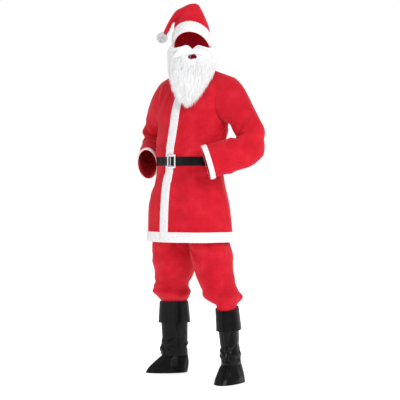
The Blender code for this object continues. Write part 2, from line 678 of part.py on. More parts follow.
def sleeve_grid(arm, armhole_normals):
    """Points and outward directions of a sleeve, from the armhole to the cuff."""
    at, length, upper, hinge = arm_route(arm)
    mirror = np.array((arm.side, 1, 1))
    loop_middle = (armhole_point(0) + armhole_point(180)) / 2 * mirror
    top = armhole_point(0) * mirror - loop_middle
    top = unit(top - (top @ upper) * upper)
    ahead = unit(np.cross(upper, top))
    if ahead[1] > 0:
        ahead = -ahead
    angles = [360 * c / SLEEVE_COLUMNS for c in range(SLEEVE_COLUMNS)]

    def ring(distance):
        centre, turn = at(distance)
        swing = Quaternion(Vector(hinge), turn)
        along = np.array(swing @ Vector(upper))
        up_axis = unit(np.array((0, 0, 1)) - along[2] * along)
        side_axis = np.cross(along, up_axis)
        first_axis, second_axis = np.array(swing @ Vector(top)), np.array(swing @ Vector(ahead))
        tall, flat = sample(ARM_RINGS[arm.side], distance / length)
        points, outward = [], []
        for angle in angles:
            direction = math.cos(math.radians(angle)) * first_axis
            direction = direction + math.sin(math.radians(angle)) * second_axis
            radius = 1 / math.hypot(direction @ up_axis / tall, direction @ side_axis / flat)
            radius += relief(distance, angle, ARM_GIRTH, SLEEVE_CREASES[arm.side])
            points.append(centre + direction * radius)
            outward.append(direction)
        return np.array(points), np.array(outward), along

    first_ring, first_out, along = ring(SLEEVE_START)
    armhole = np.array([armhole_point(angle) * mirror for angle in angles])
    leave = unit(np.array(SLEEVE_LEAVE) * mirror)
    rows, outward = [], []
    cap_rows = 4
    for step in range(cap_rows):
        t = step / cap_rows
        reach = np.linalg.norm(first_ring - armhole, axis=1, keepdims=True)
        start_pull, end_pull = leave * reach * SLEEVE_PULL, along * reach * SLEEVE_PULL
        curve = (
            armhole * (1 + 2 * t) * (1 - t) ** 2
            + start_pull * t * (1 - t) ** 2
            + first_ring * t * t * (3 - 2 * t)
            + end_pull * t * t * (t - 1)
        )
        rows.append(curve)
        outward.append(first_out)
    under = np.array([0.5 - 0.5 * math.cos(math.radians(angle)) for angle in angles])[:, None]
    rows[0] = rows[0] + ARMHOLE_GAP * (np.array((arm.side, 0, 0)) * (1 - under) + np.array((0, 0, 1)) * under)
    distances = (
        steps(SLEEVE_START, SLEEVE_BEND_FROM, 1)
        + steps(SLEEVE_BEND_FROM, SLEEVE_BEND_TO, 6)
        + steps(SLEEVE_BEND_TO, length - CUFF_STRIP_WIDTH, 3)
        + [length - CUFF_STRIP_WIDTH, length]
    )
    for distance in distances:
        points, out, _ = ring(distance)
        rows.append(points)
        outward.append(out)
    rows, outward = np.array(rows), np.array(outward)
    normals = grid_normals(rows, around=True)
    facing = np.sign((normals * outward).sum(axis=2).mean())
    normals *= facing
    normals[0] += armhole_normals
    normals[0] /= np.linalg.norm(normals[0], axis=1, keepdims=True)
    return rows, normals


def build_sleeve(arm, name, grids, felt, plush):
    """One sleeve and the plush strip round its cuff."""
    _, front_normals, _, back_normals = grids
    edge = 0 if arm.side < 0 else -1
    base = len(BODY_HEIGHTS) - 1
    half = SLEEVE_COLUMNS // 2
    ahead = [front_normals[base + half - c, edge] for c in range(half + 1)]
    behind = [back_normals[base + c - half, -1 - edge] for c in range(half + 1, SLEEVE_COLUMNS)]
    points, normals = sleeve_grid(arm, np.array(ahead + behind))
    wall(name + "_sleeve", points, normals, -JACKET_CLOTH, 0, felt, around=True)
    wall(name + "_cuff_strip", points[-2:], normals[-2:], SEAM_GAP, SEAM_GAP + PLUSH, plush, around=True)


# Trousers
def leg_point(leg, side, height, angle):
    """Outer face of one leg; angle is 0 outside, 90 in front and -90 behind."""
    turn = math.radians(angle)
    if height >= CROTCH_HEIGHT:
        centre_y, reach, half_depth = sample(HIP_RINGS, height)
        parting = split_share(height)
        half_width = reach / (1 + parting)
        centre_x, foot_turn = parting * half_width, 0.0
    else:
        centre_x, centre_y, half_width, half_depth, foot_turn = sample(leg, height)
    local = np.array((half_width * math.cos(turn), -half_depth * math.sin(turn), 0.0))
    rise = relief(height, angle, LEG_GIRTH, LEG_FOLDS)
    local += rise * np.array((math.cos(turn), -math.sin(turn), 0.0))
    swing = math.radians(foot_turn)
    x = local[0] * math.cos(swing) - local[1] * math.sin(swing)
    y = local[0] * math.sin(swing) + local[1] * math.cos(swing)
    return np.array((side * (centre_x + x), centre_y + y, height))


def split_share(height):
    """0 where the trousers are one ring at the waist, 1 where they part at the crotch."""
    share = (TROUSER_WAIST - height) / (TROUSER_WAIST - CROTCH_HEIGHT)
    return min(max(share, 0.0), 1.0) ** 2.2


def inner_angle(height):
    """Angle at which a leg's ring meets the middle of the body, or its own inseam."""
    if height < CROTCH_HEIGHT:
        return 180.0
    reach = sample(HIP_RINGS, height)[1]
    parting = split_share(height)
    half_width = reach / (1 + parting)
    return math.degrees(math.acos(max(-parting, -1 + 0.0003 / half_width)))


LEG_HEIGHTS = (
    0.350, 0.400, 0.417, 0.434, 0.450, 0.468, 0.488, 0.512, 0.550, 0.600, 0.660, 0.725,
    CROTCH_HEIGHT, 0.815, 0.860, 0.920, TROUSER_WAIST,
)


def build_trousers(cloth):
    """Four panels that meet at the side seams, the inseams and the middle, and a waistband."""
    for leg, side, name in ((LEFT_LEG, 1, "left"), (RIGHT_LEG, -1, "right")):
        for facing, half in ((1, "front"), (-1, "back")):
            rows = []
            for height in LEG_HEIGHTS:
                last = inner_angle(height)
                angles = [facing * last * c / PANEL_COLUMNS for c in range(PANEL_COLUMNS + 1)]
                rows.append([leg_point(leg, side, height, angle) for angle in angles])
            points = np.array(rows)
            normals = grid_normals(points)
            whole = whole_leg_normals(leg, side)
            picks = [facing * c % (2 * PANEL_COLUMNS) for c in (0, PANEL_COLUMNS)]
            split_row = LEG_HEIGHTS.index(CROTCH_HEIGHT)
            normals *= -facing * side
            normals[:, 0] = whole[:, picks[0]]
            normals[:split_row, -1] = whole[:split_row, picks[1]]
            normals[split_row:, -1, 0] = 0.0
            normals[split_row:, -1] /= np.linalg.norm(normals[split_row:, -1], axis=1, keepdims=True)
            edges = ["first_column", "last_column"]
            points = drawn_back(points, edges)
            wall(f"trouser_{name}_{half}", points, normals, -TROUSER_CLOTH, 0, cloth)

    columns = 32
    rows = []
    for height in (TROUSER_WAIST + 3 * SEAM_GAP, TROUSER_WAIST + WAISTBAND_HEIGHT):
        centre_y, half_width, half_depth = sample(HIP_RINGS, height)
        ring = []
        for c in range(columns):
            gather = 1 + 0.012 * (-1) ** c
            turn = 2 * math.pi * c / columns
            x = half_width * gather * math.sin(turn)
            ring.append((x, centre_y - half_depth * gather * math.cos(turn), height))
        rows.append(ring)
    points = np.array(rows)
    normals = grid_normals(points, around=True)
    wall("trouser_waistband", points, normals, -TROUSER_CLOTH, 0, cloth, around=True)


def whole_leg_normals(leg, side):
    """Outward normals of a leg taken as one tube, for the panels' shared seams."""
    count = 2 * PANEL_COLUMNS
    rows = []
    for height in LEG_HEIGHTS:
        last = inner_angle(height)
        ring = []
        for c in range(count):
            turn = c if c <= PANEL_COLUMNS else c - count
            ring.append(leg_point(leg, side, height, last * turn / PANEL_COLUMNS))
        rows.append(ring)
    return grid_normals(np.array(rows), around=True) * -side


# Boot covers
def boot_grid(boot, rings, heights, creased):
    """Points and normals of one part of a boot cover, in the foot's own direction."""
    ahead = compass(boot.turn * boot.side)
    across = np.array((-ahead[1], ahead[0], 0.0))
    rows = []
    for height in heights:
        share = (height - ANKLE_SEAM) / (BOOT_TOP - ANKLE_SEAM)
        share = max(share, 0.0)
        x = boot.ankle_x + (boot.top_x - boot.ankle_x) * share
        y = boot.ankle_y + (boot.top_y - boot.ankle_y) * share
        front, back, half_width = sample(rings, height)
        ring = []
        for c in range(BOOT_COLUMNS):
            angle = 360 * c / BOOT_COLUMNS
            turn = math.radians(angle)
            reach = front if math.cos(turn) > 0 else back
            local = ahead * reach * math.cos(turn) + across * half_width * math.sin(turn)
            if creased:
                local += (ahead * math.cos(turn) + across * math.sin(turn)) * relief(
                    height, angle, BOOT_GIRTH, BOOT_CREASES
                )
            if c == 0:
                local += ahead * BOOT_SEAM_RISE
            drop = boot.front_drop * share ** 2 * math.cos(turn)
            level = height - (BOOT_TOP - boot.top) * share
            ring.append((x + local[0], y + local[1], level - drop))
        rows.append(ring)
    points = np.array(rows)
    return points, grid_normals(points, around=True)


def build_boot(boot, name, leather):
    """Shaft, turned-down cuff and spat of one boot cover."""
    shaft_heights = (ANKLE_SEAM, 0.158, 0.176, 0.198, 0.225, 0.265, 0.335, BOOT_TOP)
    points, normals = boot_grid(boot, SHAFT_RINGS, shaft_heights, True)
    wall(f"{name}_boot_shaft", points, normals, -BOOT_CLOTH, 0, leather, around=True)
    points, normals = boot_grid(boot, CUFF_RINGS, (BOOT_CUFF_LOW, 0.360, BOOT_TOP), False)
    wall(f"{name}_boot_cuff", points, normals, -BOOT_CLOTH, 0, leather, around=True)
    spat_heights = (BOOT_LOW, 0.080, 0.105, ANKLE_SEAM)
    points, normals = boot_grid(boot, SPAT_RINGS, spat_heights, False)
    points[-1, :, 2] -= SEAM_GAP
    wall(f"{name}_boot_spat", points, normals, -BOOT_CLOTH, 0, leather, around=True)


# Hat
def hat_point(section, angle):
    """Outer face of the crown in one section; 0 is its far side and 180 its fold side."""
    fold = -np.array((math.cos(math.radians(FOLD_PLANE_TURN)), math.sin(math.radians(FOLD_PLANE_TURN)), 0.0))
    away = np.array((fold[1], -fold[0], 0.0))
    far = fold * section.far_side + np.array((0, 0, section.far_height))
    near = fold * section.near_side + np.array((0, 0, section.near_height))
    turn = math.radians(angle)
    point = (far + near) / 2 + (far - near) / 2 * math.cos(turn)
    depth = section.half_depth * math.sin(turn)
    point = point + away * (section.back + depth)
    point[2] -= section.drop * depth
    return point


def hat_grid():
    """The whole crown as one tube, from the band's lower edge to the tip of the tail."""
    count = 2 * HAT_COLUMNS
    rows = [[hat_point(s, 360 * c / count) for c in range(count)] for s in HAT_SECTIONS]
    points = np.array(rows)
    normals = grid_normals(points, around=True)
    centres = points.mean(axis=1, keepdims=True)
    facing = np.sign(((points - centres) * normals).sum(axis=2).mean())
    return points, normals * facing


def build_hat(felt, plush):
    """Two crown panels, the plush band and the pompom at the tail's tip."""
    points, normals = hat_grid()
    count = points.shape[1]
    for name, start in (("hat_back_panel", 0), ("hat_front_panel", HAT_COLUMNS)):
        columns = [(start + c) % count for c in range(HAT_COLUMNS + 1)]
        panel = drawn_back(points[:, columns], ("first_column", "last_column"))
        wall(name, panel, normals[:, columns], -HAT_CLOTH, 0, felt)

    middle = (points[0] + points[1]) / 2
    edge = np.array([points[0], middle, points[1]])
    middle_facing = normals[0] + normals[1]
    middle_facing = middle_facing / np.linalg.norm(middle_facing, axis=1, keepdims=True)
    facing = np.array([normals[0], middle_facing, normals[1]])
    outside = np.array([BAND_EDGE_SHARE, 1.0, BAND_EDGE_SHARE])[:, None] * BAND_PLUSH + SEAM_GAP
    wall("hat_band", edge, facing, SEAM_GAP, outside, plush, around=True)

    ball = bmesh.new()
    bmesh.ops.create_icosphere(ball, subdivisions=2, radius=POMPOM_RADIUS)
    for face in list(ball.faces):
        lock = bmesh.ops.poke(ball, faces=[face])
        tip = lock["verts"][0]
        tip.co = tip.co.normalized() * (POMPOM_RADIUS + POMPOM_LOCK)
    bmesh.ops.translate(ball, verts=ball.verts, vec=POMPOM_CENTRE)
    place("hat_pompom", ball, plush)


# Beard
def beard_point(angle, height):
    """Back of the beard at an angle round the face, 0 straight ahead of it."""
    half_width, reach, forward, head_turn = sample(BEARD_RINGS, height)
    ahead = compass(head_turn)
    left = np.array((-ahead[1], ahead[0], 0.0))
    turn = math.radians(angle)
    point = ahead * (forward + reach * math.cos(turn)) + left * half_width * math.sin(turn)
    return point + np.array((0, 0, height))


def build_beard(fibre):
    """The beard as raised locks on a thin backing, with an opening at the mouth."""
    widest = BEARD_EDGES[-1].angle
    rows = []
    for r in range(BEARD_ROWS):
        row = []
        for c in range(BEARD_COLUMNS + 1):
            angle = widest * (2 * c / BEARD_COLUMNS - 1)
            top, bottom = sample(BEARD_EDGES, abs(angle))
            if c % 2:
                bottom -= BEARD_TIP
            share = r / (BEARD_ROWS - 1)
            row.append(beard_point(angle, bottom + (top - bottom) * share))
        rows.append(row)
    points = np.array(rows)
    normals = grid_normals(points)
    locks = np.array([BEARD_LOCK if c % 2 else BEARD_LOCK * 0.45 for c in range(BEARD_COLUMNS + 1)])
    swell = np.array([math.sin(math.pi * (0.12 + 0.78 * r / (BEARD_ROWS - 1))) for r in range(BEARD_ROWS)])
    outer = BEARD_BACKING + locks[None, :] * swell[:, None]
    row = BEARD_ROWS - 1 - MOUTH_ROW
    holes = {(row - 1, c) for c in MOUTH_COLUMNS}
    wall("beard", points, normals, 0, outer, fibre, holes=holes)


def build_moustache(fibre):
    """Two lobes over the mouth, lying on the beard."""
    widest = MOUSTACHE_RINGS[-1].angle
    rows, thickness = [], []
    for r in range(MOUSTACHE_ROWS):
        across = 2 * r / (MOUSTACHE_ROWS - 1) - 1
        row, swell = [], []
        for c in range(MOUSTACHE_COLUMNS + 1):
            angle = widest * (2 * c / MOUSTACHE_COLUMNS - 1)
            height, half_height, thick = sample(MOUSTACHE_RINGS, abs(angle))
            row.append(beard_point(angle, height + half_height * across))
            swell.append(thick * (0.25 + 0.75 * (1 - across * across)))
        rows.append(row)
        thickness.append(swell)
    points = np.array(rows)
    outer = MOUSTACHE_SEAT + np.array(thickness)
    wall("moustache", points, grid_normals(points), MOUSTACHE_SEAT, outer, fibre)


def build():
    """Clear the scene and build every piece."""
    for thing in list(bpy.data.objects):
        bpy.data.objects.remove(thing, do_unlink=True)
    red_felt = material("red_felt", (0.60, 0.012, 0.022), 0.92)
    white_plush = material("white_plush", (0.84, 0.84, 0.84), 0.95)
    black_vinyl = material("black_vinyl", (0.012, 0.012, 0.013), 0.38)
    silver = material("silver_metal", (0.78, 0.78, 0.80), 0.25, 1.0)
    fibre = material("white_fibre", (0.88, 0.88, 0.87), 0.80)
    grids = build_jacket_body(red_felt, white_plush)
    build_belt(grids, black_vinyl, silver)
    build_sleeve(LEFT_ARM, "left", grids, red_felt, white_plush)
    build_sleeve(RIGHT_ARM, "right", grids, red_felt, white_plush)
    build_trousers(red_felt)
    build_boot(LEFT_BOOT, "left", black_vinyl)
    build_boot(RIGHT_BOOT, "right", black_vinyl)
    build_hat(red_felt, white_plush)
    build_beard(fibre)
    build_moustache(fibre)


build()
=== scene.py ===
# %% [markdown]
# # A santa suit, worn but empty
# The suit is a set: a belted jacket, loose trousers, boot covers, a floppy hat and a beard.
# Thin cloth holds its shape here because every piece is a wall between two copies of one
# grid of points, so a curve, a fold and a hem are all moves of those points.
# The solids of the set are loaded first, and each piece below takes the place of one.

import bisect
import math
from collections import namedtuple

import bmesh
import bpy
import numpy as np
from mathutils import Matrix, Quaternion, Vector, noise


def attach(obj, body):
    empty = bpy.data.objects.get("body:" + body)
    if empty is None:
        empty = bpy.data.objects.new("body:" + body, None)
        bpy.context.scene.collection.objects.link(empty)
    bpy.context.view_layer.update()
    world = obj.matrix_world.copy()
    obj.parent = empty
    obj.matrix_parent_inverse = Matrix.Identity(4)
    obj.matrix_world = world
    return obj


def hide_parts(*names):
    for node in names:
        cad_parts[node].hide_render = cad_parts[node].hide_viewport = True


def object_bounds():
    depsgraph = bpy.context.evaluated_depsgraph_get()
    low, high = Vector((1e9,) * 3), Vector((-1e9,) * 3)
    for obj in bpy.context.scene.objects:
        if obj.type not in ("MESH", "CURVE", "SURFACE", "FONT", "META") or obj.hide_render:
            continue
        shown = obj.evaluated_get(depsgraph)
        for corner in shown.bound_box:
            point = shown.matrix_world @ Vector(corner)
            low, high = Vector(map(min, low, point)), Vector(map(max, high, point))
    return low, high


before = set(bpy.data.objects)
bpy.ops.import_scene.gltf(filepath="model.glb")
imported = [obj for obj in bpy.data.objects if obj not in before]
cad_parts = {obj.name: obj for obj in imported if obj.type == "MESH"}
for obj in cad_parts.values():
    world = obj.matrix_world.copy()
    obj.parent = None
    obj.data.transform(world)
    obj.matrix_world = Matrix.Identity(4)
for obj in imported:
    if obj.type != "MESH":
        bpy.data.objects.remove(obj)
cad_box = [list(corner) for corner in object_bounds()]
print("solids", len(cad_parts), "box", cad_box)

# %% [markdown]
# ## The camera
# A long lens far away keeps the legs and the head at one scale, as in a catalogue picture.
# The camera stands at the suit's left front, about waist high, and is set first so that
# every later piece can be judged from it.

# %% Camera
CAMERA_TURN = 38.0
CAMERA_DISTANCE = 6.5
CAMERA_HEIGHT = -0.5
AIM = (0.0386, -0.587)
LENS = 121.1

turn = math.radians(CAMERA_TURN)
camera_data = bpy.data.cameras.new("portrait_camera")
camera_data.lens = LENS
camera = bpy.data.objects.new("portrait_camera", camera_data)
camera.location = (CAMERA_DISTANCE * math.sin(turn), -CAMERA_DISTANCE * math.cos(turn), CAMERA_HEIGHT)
aim = Vector((AIM[0] * math.cos(turn), AIM[0] * math.sin(turn), AIM[1]))
camera.rotation_euler = (aim - camera.location).to_track_quat("-Z", "Y").to_euler()
bpy.context.scene.collection.objects.link(camera)
bpy.context.scene.camera = camera
print("camera at", [round(v, 3) for v in camera.location])

# %% [markdown]
# ## Materials
# Felt, plush, imitation leather, plated metal and spun hair are all procedural. A colour is
# written as the hex value that a picture editor shows, and one function makes it linear.
# One more function adds a node, so each material below reads as a short list.

# %% Colour and node helpers
def linear(hex_colour):
    """An sRGB hex colour as the linear values that a shader wants."""
    channels = [int(hex_colour[i : i + 2], 16) / 255 for i in (1, 3, 5)]
    light = [c / 12.92 if c <= 0.04045 else ((c + 0.055) / 1.055) ** 2.4 for c in channels]
    return (*light, 1.0)


def node(tree, kind, inputs=None, links=None, stops=(), into=None, **settings):
    """Add a node with its settings, colour stops, input values and links in, and one link out."""
    made = tree.nodes.new(kind)
    for name, value in settings.items():
        setattr(made, name, value)
    for index, (place, colour) in enumerate(stops):
        if index >= len(made.color_ramp.elements):
            made.color_ramp.elements.new(place)
        made.color_ramp.elements[index].position = place
        made.color_ramp.elements[index].color = linear(colour)
    for key, value in (inputs or {}).items():
        made.inputs[key].default_value = value
    for key, source in (links or {}).items():
        tree.links.new(source, made.inputs[key])
    if into is not None:
        tree.links.new(made.outputs[0], into)
    return made


def new_material(name, **values):
    """A material with its Principled shader, set to plain values."""
    made = bpy.data.materials.new(name)
    made.use_nodes = True
    shader = made.node_tree.nodes["Principled BSDF"]
    for key, value in values.items():
        shader.inputs[key.replace("_", " ")].default_value = value
    return made, made.node_tree, shader


print("middle grey is", round(linear("#808080")[0], 3), "in linear light")

# %% [markdown]
# ### Brushed felt
# The suit's red is a cheap polyester felt: fibres pressed flat and brushed up again. It has
# no weave. The eye gets soft patches a few centimetres wide, a nap of 2 to 3 mm that lifts
# the light at the edges, and no gloss at all. The nap is drawn a little coarser than real.

# %% Felt
def felt_material(name, deep, middle, bright, relief_height):
    """Brushed polyester felt: patches of 60 mm, tufts of 3 mm and a fuzzy rim."""
    made, tree, shader = new_material(
        name, Roughness=0.93, Specular_IOR_Level=0.20, Sheen_Weight=0.35, Sheen_Roughness=0.45,
        Sheen_Tint=linear("#FF8A8F"),
    )
    where = node(tree, "ShaderNodeTexCoord").outputs["Object"]
    patches = node(tree, "ShaderNodeTexNoise", {"Scale": 16.0, "Detail": 3.0}, {"Vector": where})
    tufts = node(
        tree, "ShaderNodeTexNoise", {"Scale": 330.0, "Detail": 5.0, "Roughness": 0.65}, {"Vector": where},
    )
    both = node(
        tree, "ShaderNodeMix", {"Factor": 0.45}, {"A": patches.outputs[0], "B": tufts.outputs[0]},
        data_type="FLOAT",
    )
    node(
        tree, "ShaderNodeValToRGB", links={"Fac": both.outputs[0]},
        stops=((0.30, deep), (0.50, middle), (0.70, bright)), into=shader.inputs["Base Color"],
    )
    node(
        tree, "ShaderNodeBump", {"Strength": 0.5, "Distance": relief_height},
        {"Height": tufts.outputs[0]}, into=shader.inputs["Normal"],
    )
    return made


red_felt = felt_material("brushed_polyester_felt", "#B60F22", "#CB1428", "#D82838", 0.0012)
print("felt", red_felt.name)

# %% [markdown]
# ### White plush
# The trims are short white pile on a knitted back. Each fibre is bright, the gaps between
# them are only a little grey, so the surface reads as white with soft small shadows.

# %% Plush
def plush_material(name, shade, light, scale):
    """White pile: small soft mounds and a strong sheen."""
    made, tree, shader = new_material(
        name, Roughness=0.95, Specular_IOR_Level=0.15, Sheen_Weight=0.4, Sheen_Roughness=0.6,
    )
    where = node(tree, "ShaderNodeTexCoord").outputs["Object"]
    mounds = node(
        tree, "ShaderNodeTexNoise", {"Scale": scale, "Detail": 4.0, "Roughness": 0.6}, {"Vector": where},
    )
    node(
        tree, "ShaderNodeValToRGB", links={"Fac": mounds.outputs[0]}, stops=((0.30, shade), (0.60, light)),
        into=shader.inputs["Base Color"],
    )
    node(
        tree, "ShaderNodeBump", {"Strength": 0.6, "Distance": 0.0015}, {"Height": mounds.outputs[0]},
        into=shader.inputs["Normal"],
    )
    return made


# The mounds are 4 mm on the trims, where the pile is short
white_plush = plush_material("short_pile_plush", "#E4E2E3", "#FCFBFC", 250.0)
print("plush", white_plush.name)

# %% [markdown]
# ### Imitation leather
# The boot covers and the belt are black PVC on a thin cloth back: a printed grain of about
# 1.5 mm, a satin coat that catches long soft highlights, and greyer wear in soft patches.

# %% Imitation leather
def vinyl_material(name, dark, worn, roughness):
    """PVC leatherette: fine printed grain under a satin coat."""
    made, tree, shader = new_material(
        name, Roughness=roughness, Specular_IOR_Level=0.13, Coat_Weight=0.05, Coat_Roughness=0.22,
    )
    where = node(tree, "ShaderNodeTexCoord").outputs["Object"]
    grain = node(
        tree, "ShaderNodeTexVoronoi", {"Scale": 600.0}, {"Vector": where}, feature="DISTANCE_TO_EDGE",
    )
    cloud = node(tree, "ShaderNodeTexNoise", {"Scale": 22.0, "Detail": 5.0}, {"Vector": where})
    node(
        tree, "ShaderNodeValToRGB", links={"Fac": cloud.outputs[0]}, stops=((0.42, dark), (0.75, worn)),
        into=shader.inputs["Base Color"],
    )
    fine = node(
        tree, "ShaderNodeBump", {"Strength": 0.25, "Distance": 0.0003},
        {"Height": grain.outputs["Distance"]},
    )
    ripple = node(tree, "ShaderNodeTexNoise", {"Scale": 60.0, "Detail": 2.0}, {"Vector": where})
    node(
        tree, "ShaderNodeBump", {"Strength": 0.35, "Distance": 0.002},
        {"Height": ripple.outputs[0], "Normal": fine.outputs["Normal"]}, into=shader.inputs["Normal"],
    )
    return made


black_vinyl = vinyl_material("pvc_leatherette", "#050506", "#0F0F11", 0.32)
belt_vinyl = vinyl_material("belt_pvc", "#09090A", "#121214", 0.40)
print("vinyl", black_vinyl.name, belt_vinyl.name)

# %% [markdown]
# ### Plated buckle and spun hair
# The buckle is stamped steel with a bright plate, a little hazy from handling. The beard is
# modacrylic hair: near white, with painted cool shade between its locks and a soft shine along them.

# %% Metal and hair
bright_plate, plate_tree, plate_shader = new_material(
    "nickel_plated_steel", Base_Color=linear("#E4E4E8"), Metallic=1.0, Roughness=0.22
)
plate_place = node(plate_tree, "ShaderNodeTexCoord").outputs["Object"]
plate_haze = node(
    plate_tree, "ShaderNodeTexNoise", {"Scale": 120.0, "Detail": 3.0}, {"Vector": plate_place},
)
node(
    plate_tree, "ShaderNodeMapRange", {"To Min": 0.16, "To Max": 0.34}, {"Value": plate_haze.outputs[0]},
    into=plate_shader.inputs["Roughness"],
)


def hair_material(name, shade, light):
    """Modacrylic hair: white fibres with painted cool shade between the locks."""
    made, tree, shader = new_material(
        name, Roughness=0.62, Specular_IOR_Level=0.30, Sheen_Weight=0.35, Sheen_Roughness=0.4,
    )
    where = node(tree, "ShaderNodeTexCoord").outputs["Object"]
    stretch = node(tree, "ShaderNodeMapping", {"Scale": (1.0, 1.0, 0.22)}, {"Vector": where})
    locks = node(
        tree, "ShaderNodeTexNoise", {"Scale": 160.0, "Detail": 4.0}, {"Vector": stretch.outputs[0]},
    )
    # The grey stop is painted shade between the locks, where the lock noise is low; the white stop is the
    # hair's own colour
    node(
        tree, "ShaderNodeValToRGB", links={"Fac": locks.outputs[0]}, stops=((0.30, shade), (0.62, light)),
        into=shader.inputs["Base Color"],
    )
    node(
        tree, "ShaderNodeBump", {"Strength": 0.5, "Distance": 0.002}, {"Height": locks.outputs[0]},
        into=shader.inputs["Normal"],
    )
    return made


# The first colour is painted cool shade between the locks, the second the hair's own white
white_hair = hair_material("modacrylic_hair", "#EDEEF0", "#FEFEFE")
print("hair", white_hair.name, "plate", bright_plate.name)

# %% [markdown]
# ## Reading shapes from short tables
# A tailor notes a few girths and a few heights. Here each table holds such notes, and one
# function reads it at any height along a smooth curve. Points that change by a rule are
# then cheap: the finer the grid, the softer the cloth.

# %% Sizes shared by the whole set
ORIGIN_HEIGHT = 1.50
SEAM_GAP = 0.0003
JACKET_CLOTH = 0.0025
TROUSER_CLOTH = 0.0020
HAT_CLOTH = 0.0020
BOOT_CLOTH = 0.0015
PLUSH = 0.0035
BELT_CLOTH = 0.0020
BODY_GIRTH = 1.10
ARM_GIRTH = 0.44
LEG_GIRTH = 0.58
BOOT_GIRTH = 0.34
print("jacket cloth", JACKET_CLOTH, "m, plush", PLUSH, "m")

# %% Table reader and small vector helpers
read_tables = {}


def sample(table, key):
    """Read a table at any value of its first column, along a smooth curve through its rows."""
    if id(table) not in read_tables:
        rows = np.array(table, dtype=float)
        slopes = np.gradient(rows[:, 1:], rows[:, 0], axis=0)
        read_tables[id(table)] = (table, rows[:, 0].tolist(), rows[:, 1:], slopes)
    _, keys, values, slopes = read_tables[id(table)]
    key = min(max(key, keys[0]), keys[-1])
    first = min(bisect.bisect_right(keys, key) - 1, len(keys) - 2)
    span = keys[first + 1] - keys[first]
    t = (key - keys[first]) / span
    rise = values[first + 1] - values[first]
    curve_in = span * slopes[first] - rise
    curve_out = rise - span * slopes[first + 1]
    return values[first] + t * rise + t * (1 - t) * ((1 - t) * curve_in + t * curve_out)


def steps(start, end, count):
    """Evenly spaced values from start up to, but not including, end."""
    return list(np.linspace(start, end, count, endpoint=False))


def smooth_share(t):
    """A share kept from 0 to 1 that starts and ends level."""
    t = min(max(t, 0.0), 1.0)
    return t * t * (3 - 2 * t)


def unit(vector):
    """The vector at length one."""
    vector = np.array(vector, dtype=float)
    return vector / np.linalg.norm(vector)


def compass(degrees):
    """Horizontal direction at an angle from the front, positive to the suit's left."""
    angle = math.radians(degrees)
    return np.array((math.sin(angle), -math.cos(angle), 0.0))


def three_point_curve(start, middle, end, t):
    """The parabola through three points, at a share t of the way."""
    start, middle, end = (np.array(p) for p in (start, middle, end))
    return start * (1 - t) * (1 - 2 * t) + middle * 4 * t * (1 - t) + end * t * (2 * t - 1)


def refined(values, parts):
    """Split every step of a list into equal parts."""
    fine = []
    for low, high in zip(values[:-1], values[1:]):
        fine += steps(low, high, parts)
    return fine + [values[-1]]


def spread(low, high, step):
    """Evenly spaced values from low to high, about a step apart."""
    count = max(1, round((high - low) / step))
    return list(np.linspace(low, high, count + 1))


print("0 to 0.3 in steps of about 0.1:", spread(0, 0.3, 0.1))

# %% [markdown]
# ### Folds
# A fold is a segment drawn on the cloth, with a width and a rise that fades at both ends.
# They are placed one by one, never at equal distances, because real cloth never repeats. The
# finest unevenness comes from a fixed noise of about 40 mm, a millimetre high.

# %% Folds and normals
Crease = namedtuple("Crease", "low low_angle high high_angle width rise")


crease_tables = {}


def relief(along, angle, girth, creases):
    """Rise of the cloth at a point, from creases given as segments with soft sides and ends."""
    if id(creases) not in crease_tables:
        crease_tables[id(creases)] = (creases, np.array(creases, dtype=float).T)
    low, low_angle, high, high_angle, width, rise = crease_tables[id(creases)][1]
    scale = girth / 360
    x, y = along - low, ((angle - low_angle + 180) % 360 - 180) * scale
    run, sweep = high - low, (high_angle - low_angle) * scale
    share = np.clip((x * run + y * sweep) / (run * run + sweep * sweep), 0, 1)
    gap = (x - share * run) ** 2 + (y - share * sweep) ** 2
    return float((rise * np.exp(-gap / width ** 2)).sum())


def grid_normals(points, around=False):
    """Unit normals of a grid, facing out where columns run anticlockwise and rows run up."""
    if around:
        across = np.roll(points, -1, axis=1) - np.roll(points, 1, axis=1)
    else:
        across = np.gradient(points, axis=1)
    up = np.gradient(points, axis=0)
    normals = np.cross(across, up)
    return normals / np.linalg.norm(normals, axis=2, keepdims=True)


# Each edge of a grid with its next line inwards
WHOLE = slice(None)
GRID_EDGES = {
    "first_column": ((WHOLE, 0), (WHOLE, 1)),
    "last_column": ((WHOLE, -1), (WHOLE, -2)),
    "last_row": ((-1, WHOLE), (-2, WHOLE)),
}


def drawn_back(points, edges, amount=SEAM_GAP / 2):
    """Move the named edges of a grid back from their seam lines, along the surface."""
    moved = points.copy()
    for edge, next_line in (GRID_EDGES[name] for name in edges):
        inward = points[next_line] - points[edge]
        moved[edge] += inward / np.linalg.norm(inward, axis=1, keepdims=True) * amount
    return moved


def unevenness(points, normals, amount, size):
    """Move the points of a grid along its normals by a fixed soft noise."""
    moved = points.copy()
    for index in np.ndindex(points.shape[:2]):
        value = noise.noise(Vector(points[index] / size))
        moved[index] += normals[index] * value * amount
    return moved


print("a crease is given by", Crease._fields)

# %% [markdown]
# ### From a grid to a wall of cloth
# Each sheet is built as a closed wall: an outer face, an inner face and rims between them.
# Quads are used here, so the shading stays smooth, and the normals are set once at the end.

# %% Sheet maker
def finished(name, mesh, made_of, replaces=(), slot=None):
    """Link a mesh as a finished piece that rides with the suit."""
    mesh.materials.append(made_of)
    mesh.shade_smooth()
    mesh.set_sharp_from_angle(angle=math.radians(42))
    thing = bpy.data.objects.new(name, mesh)
    bpy.context.scene.collection.objects.link(thing)
    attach(thing, "root")
    if replaces:
        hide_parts(*replaces)
    return thing


